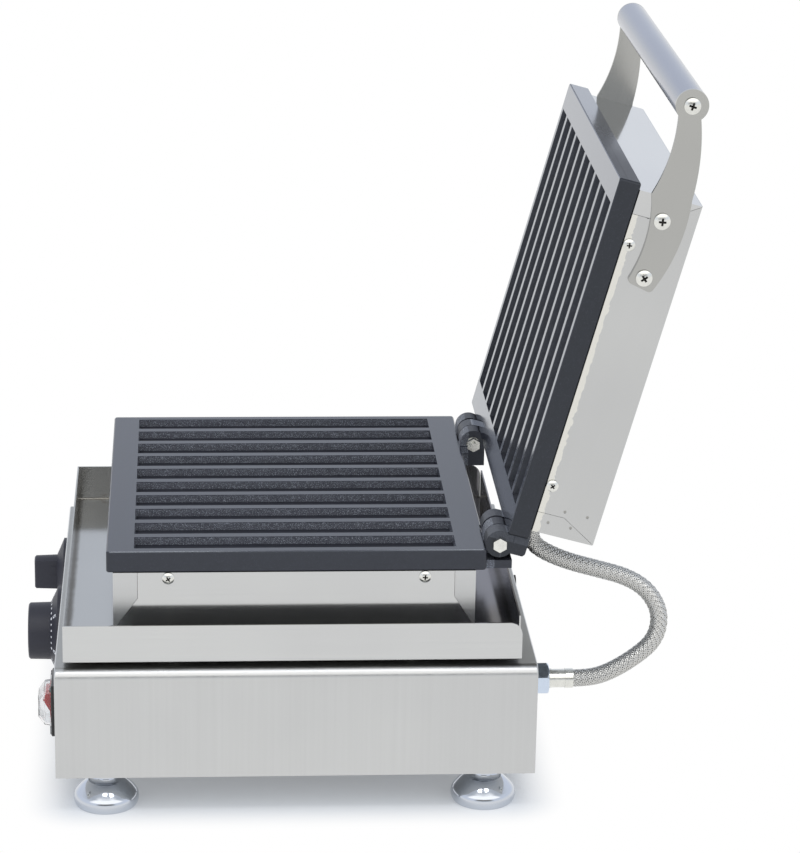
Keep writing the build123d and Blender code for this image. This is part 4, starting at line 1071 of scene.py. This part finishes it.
def join_marks(pieces, name, body):
    """One mesh of all marks of a dial, riding with its knob."""
    marks = join_pieces(pieces)
    marks.name = name
    bpy.ops.object.mode_set(mode="EDIT")
    bpy.ops.mesh.select_all(action="SELECT")
    bpy.ops.mesh.quads_convert_to_tris()
    bpy.ops.object.mode_set(mode="OBJECT")
    shape = bmesh.new()
    shape.from_mesh(marks.data)
    for face in shape.faces:
        if face.normal.y > 0:
            face.normal_flip()
    shape.to_mesh(marks.data)
    shape.free()
    marks.data.materials.clear()
    marks.data.materials.append(mark_white)
    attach(marks, body)
    print(name, "has", len(pieces), "marks")


print("a skirt rises", skirt_rise, "m from its edge to its knob")

# %% [markdown]
# ## Timer scale
# The timer runs for half an hour. It has a dot for each minute, and a larger dot and a
# number for every fifth. They run anticlockwise, so that turning the knob clockwise brings
# larger numbers to the top.

# %% Timer scale
timer_zero, degrees_per_minute = -11.5, 11
timer_skirt = (0.0365, 0.0239)
timer_marks = []
for minute in range(31):
    angle = radians(timer_zero + degrees_per_minute * minute)
    numbered = minute % 5 == 0
    dot = add_dot(0.0012 if numbered else 0.00092)
    timer_marks.append(wrap_on_skirt(dot, "timer_knob", angle, 0.0261, timer_skirt))
    if numbered:
        digits = add_digits(minute, 0.0066)
        timer_marks.append(wrap_on_skirt(digits, "timer_knob", angle, 0.0313, timer_skirt))
join_marks(timer_marks, "timer_scale", "timer_dial")

# %% [markdown]
# ## Thermostat scale
# The thermostat goes up to 300 degrees Celsius in steps of 50, with a tick and a number
# for each and a longer tick for off. Its skirt is smaller than the timer's, so its digits
# are smaller too, and they stand inside the ticks.

# %% Thermostat scale
thermostat_off, degrees_per_step = 350, 42
thermostat_skirt = (0.0290, 0.0150)
thermostat_marks = []
for step in range(7):
    angle = radians(thermostat_off - degrees_per_step * step)
    mark = add_tick(0.0007, 0.0034 if step else 0.0052)
    wrap_on_skirt(mark, "thermostat_knob", angle, 0.0262, thermostat_skirt)
    thermostat_marks.append(mark)
    if step:
        mark = add_digits(50 * step, 0.0040)
        wrap_on_skirt(mark, "thermostat_knob", angle, 0.0212, thermostat_skirt)
        thermostat_marks.append(mark)
join_marks(thermostat_marks, "thermostat_scale", "thermostat_dial")

# %% [markdown]
# ## Floor
# The press stands on a pale, nearly matt floor. It is one large plane.

# %% Floor
drop_selection()
bpy.ops.mesh.primitive_plane_add(size=24, location=(0, 0, 0))
floor = bpy.context.object
floor.name = "studio_floor"
floor_white, tree, shader = new_finish("floor_white")
paper = noise(placed_coordinates(tree), 60.0)
paper_stops = [(usual_low, (0.74, 0.79, 0.85)), (usual_high, (0.76, 0.81, 0.87))]
set_up(shader, Base_Color=ramp(paper, paper_stops), Roughness=0.9, Specular_IOR_Level=0.1)
floor.data.materials.append(floor_white)
print("the floor is", round(floor.dimensions.x), "m wide")

# %% [markdown]
# ## White round the press
# Away from the press, camera, glossy and transmitted rays see the floor as plain white.
# Close to it they see the lit floor itself, which keeps the soft shadow. More light would
# whiten the floor too, but would burn out the steel. The mask is the distance from an
# outline a little inside the base's own.

# %% White round the press
shadow_inset, shadow_reach, white_under_base = 0.02, 0.05, 0.2


def seen_rays(tree, *kinds):
    """1 for rays of the named kinds and 0 for all others."""
    rays = tree.nodes.new("ShaderNodeLightPath")
    value = rays.outputs[kinds[0]]
    for kind in kinds[1:]:
        value = number_step("MAXIMUM", value, rays.outputs[kind])
    return value


half_x = (base_high.x - base_low.x) / 2 - shadow_inset
half_y = (base_high.y - base_low.y) / 2 - shadow_inset
middle_x = (base_high.x + base_low.x) / 2
place = vector_step("SUBTRACT", placed_coordinates(tree), (middle_x, middle_y, 0))
beyond = vector_step("SUBTRACT", vector_step("ABSOLUTE", place), (half_x, half_y, 0))
distance = vector_step("LENGTH", vector_step("MAXIMUM", beyond, (0, 0, 0)))
fade = fade_between(distance, 0.0, shadow_reach, white_under_base)
floor_rays = seen_rays(tree, "Is Camera Ray", "Is Glossy Ray", "Is Transmission Ray")
white = add_node(tree, "ShaderNodeEmission", Strength=1.0)
blend_floor = tree.nodes.new("ShaderNodeMixShader")
tree.links.new(product(floor_rays, fade), blend_floor.inputs[0])
tree.links.new(shader.outputs[0], blend_floor.inputs[1])
tree.links.new(white.outputs[0], blend_floor.inputs[2])
set_up(tree.nodes["Material Output"], Surface=blend_floor.outputs[0])
print("floor turns white", round(shadow_reach - shadow_inset, 3), "m beyond the base")

# %% [markdown]
# ## Tent
# The light comes from a white tent all round. A ramp over the height of a direction makes
# it white at the horizon and greyer overhead, so that upright and level faces of the
# steel differ.

# %% Tent
world = bpy.data.worlds.new("studio_sky")
bpy.context.scene.world = world
world.use_nodes = True
tree = world.node_tree
background = tree.nodes["Background"]
direction = tree.nodes.new("ShaderNodeTexCoord").outputs["Generated"]
towards_x, _, towards_z = split_axes(direction)
tones = [
    (0.0, (0.96, 0.98, 1.0)), (0.22, (0.83, 0.88, 0.99)), (0.45, (0.82, 0.87, 0.96)),
    (0.75, (0.60, 0.63, 0.68)), (1.0, (0.66, 0.69, 0.74)),
]
sky = ramp(towards_z, tones)
print("the tent has", len(tones), "tones from the horizon to the top")

# %% [markdown]
# ## Open side and window
# The tent is open on the side of the viewer, where the room is darker, with a window
# higher up. The steel needs both: the inner faces of the tray look towards the open side
# and turn grey, and the window brightens what leans towards it. Camera rays and rays
# through the splash cover see neither, only white.

# %% Open side and window
room_grey, window_white = (0.24, 0.24, 0.24), (1.55, 1.54, 1.52)
open_side = product(
    fade_between(towards_x, 0.78, 0.92), fade_between(towards_z, 0.08, 0.19)
)
window = product(
    fade_between(towards_z, 0.34, 0.46), fade_between(towards_z, 0.90, 0.80),
    fade_between(towards_x, 0.35, 0.50),
)
room = mix_colours(open_side, sky, room_grey)
room = mix_colours(window, room, window_white)
straight_rays = seen_rays(tree, "Is Camera Ray", "Is Transmission Ray")
set_up(background, Color=mix_colours(straight_rays, room, (1, 1, 1)), Strength=1.0)
print("the window is", window_white[0], "times as bright as white")

# %% [markdown]
# ## Lamps
# Two square softboxes hang high over the near side of the press, one towards each end.
# They give the soft shadow on the floor and a pair of highlights on every polished piece.
# The view transform is the plain one, so that colours keep the values written here.

# %% Lamps
lamp_x, lamp_z = 0.95, 2.2
lamp_size, lamp_power = 0.42, 3.4


def softbox(name, place, target):
    """A square lamp aimed at a point."""
    bpy.ops.object.light_add(type="AREA", location=place)
    lamp = bpy.context.object
    lamp.name = name
    lamp.data.shape = "SQUARE"
    lamp.data.size = lamp_size
    lamp.data.energy = lamp_power
    aim = Vector(target) - Vector(place)
    lamp.rotation_mode = "QUATERNION"
    lamp.rotation_quaternion = aim.to_track_quat("-Z", "Y")
    print(name, "hangs", round(aim.length, 2), "m from the press")


centre = (cad_low + cad_high) / 2
softbox("front_softbox", (lamp_x, -0.30, lamp_z), centre)
softbox("back_softbox", (lamp_x, 0.42, lamp_z), centre)
bpy.context.scene.view_settings.view_transform = "Standard"
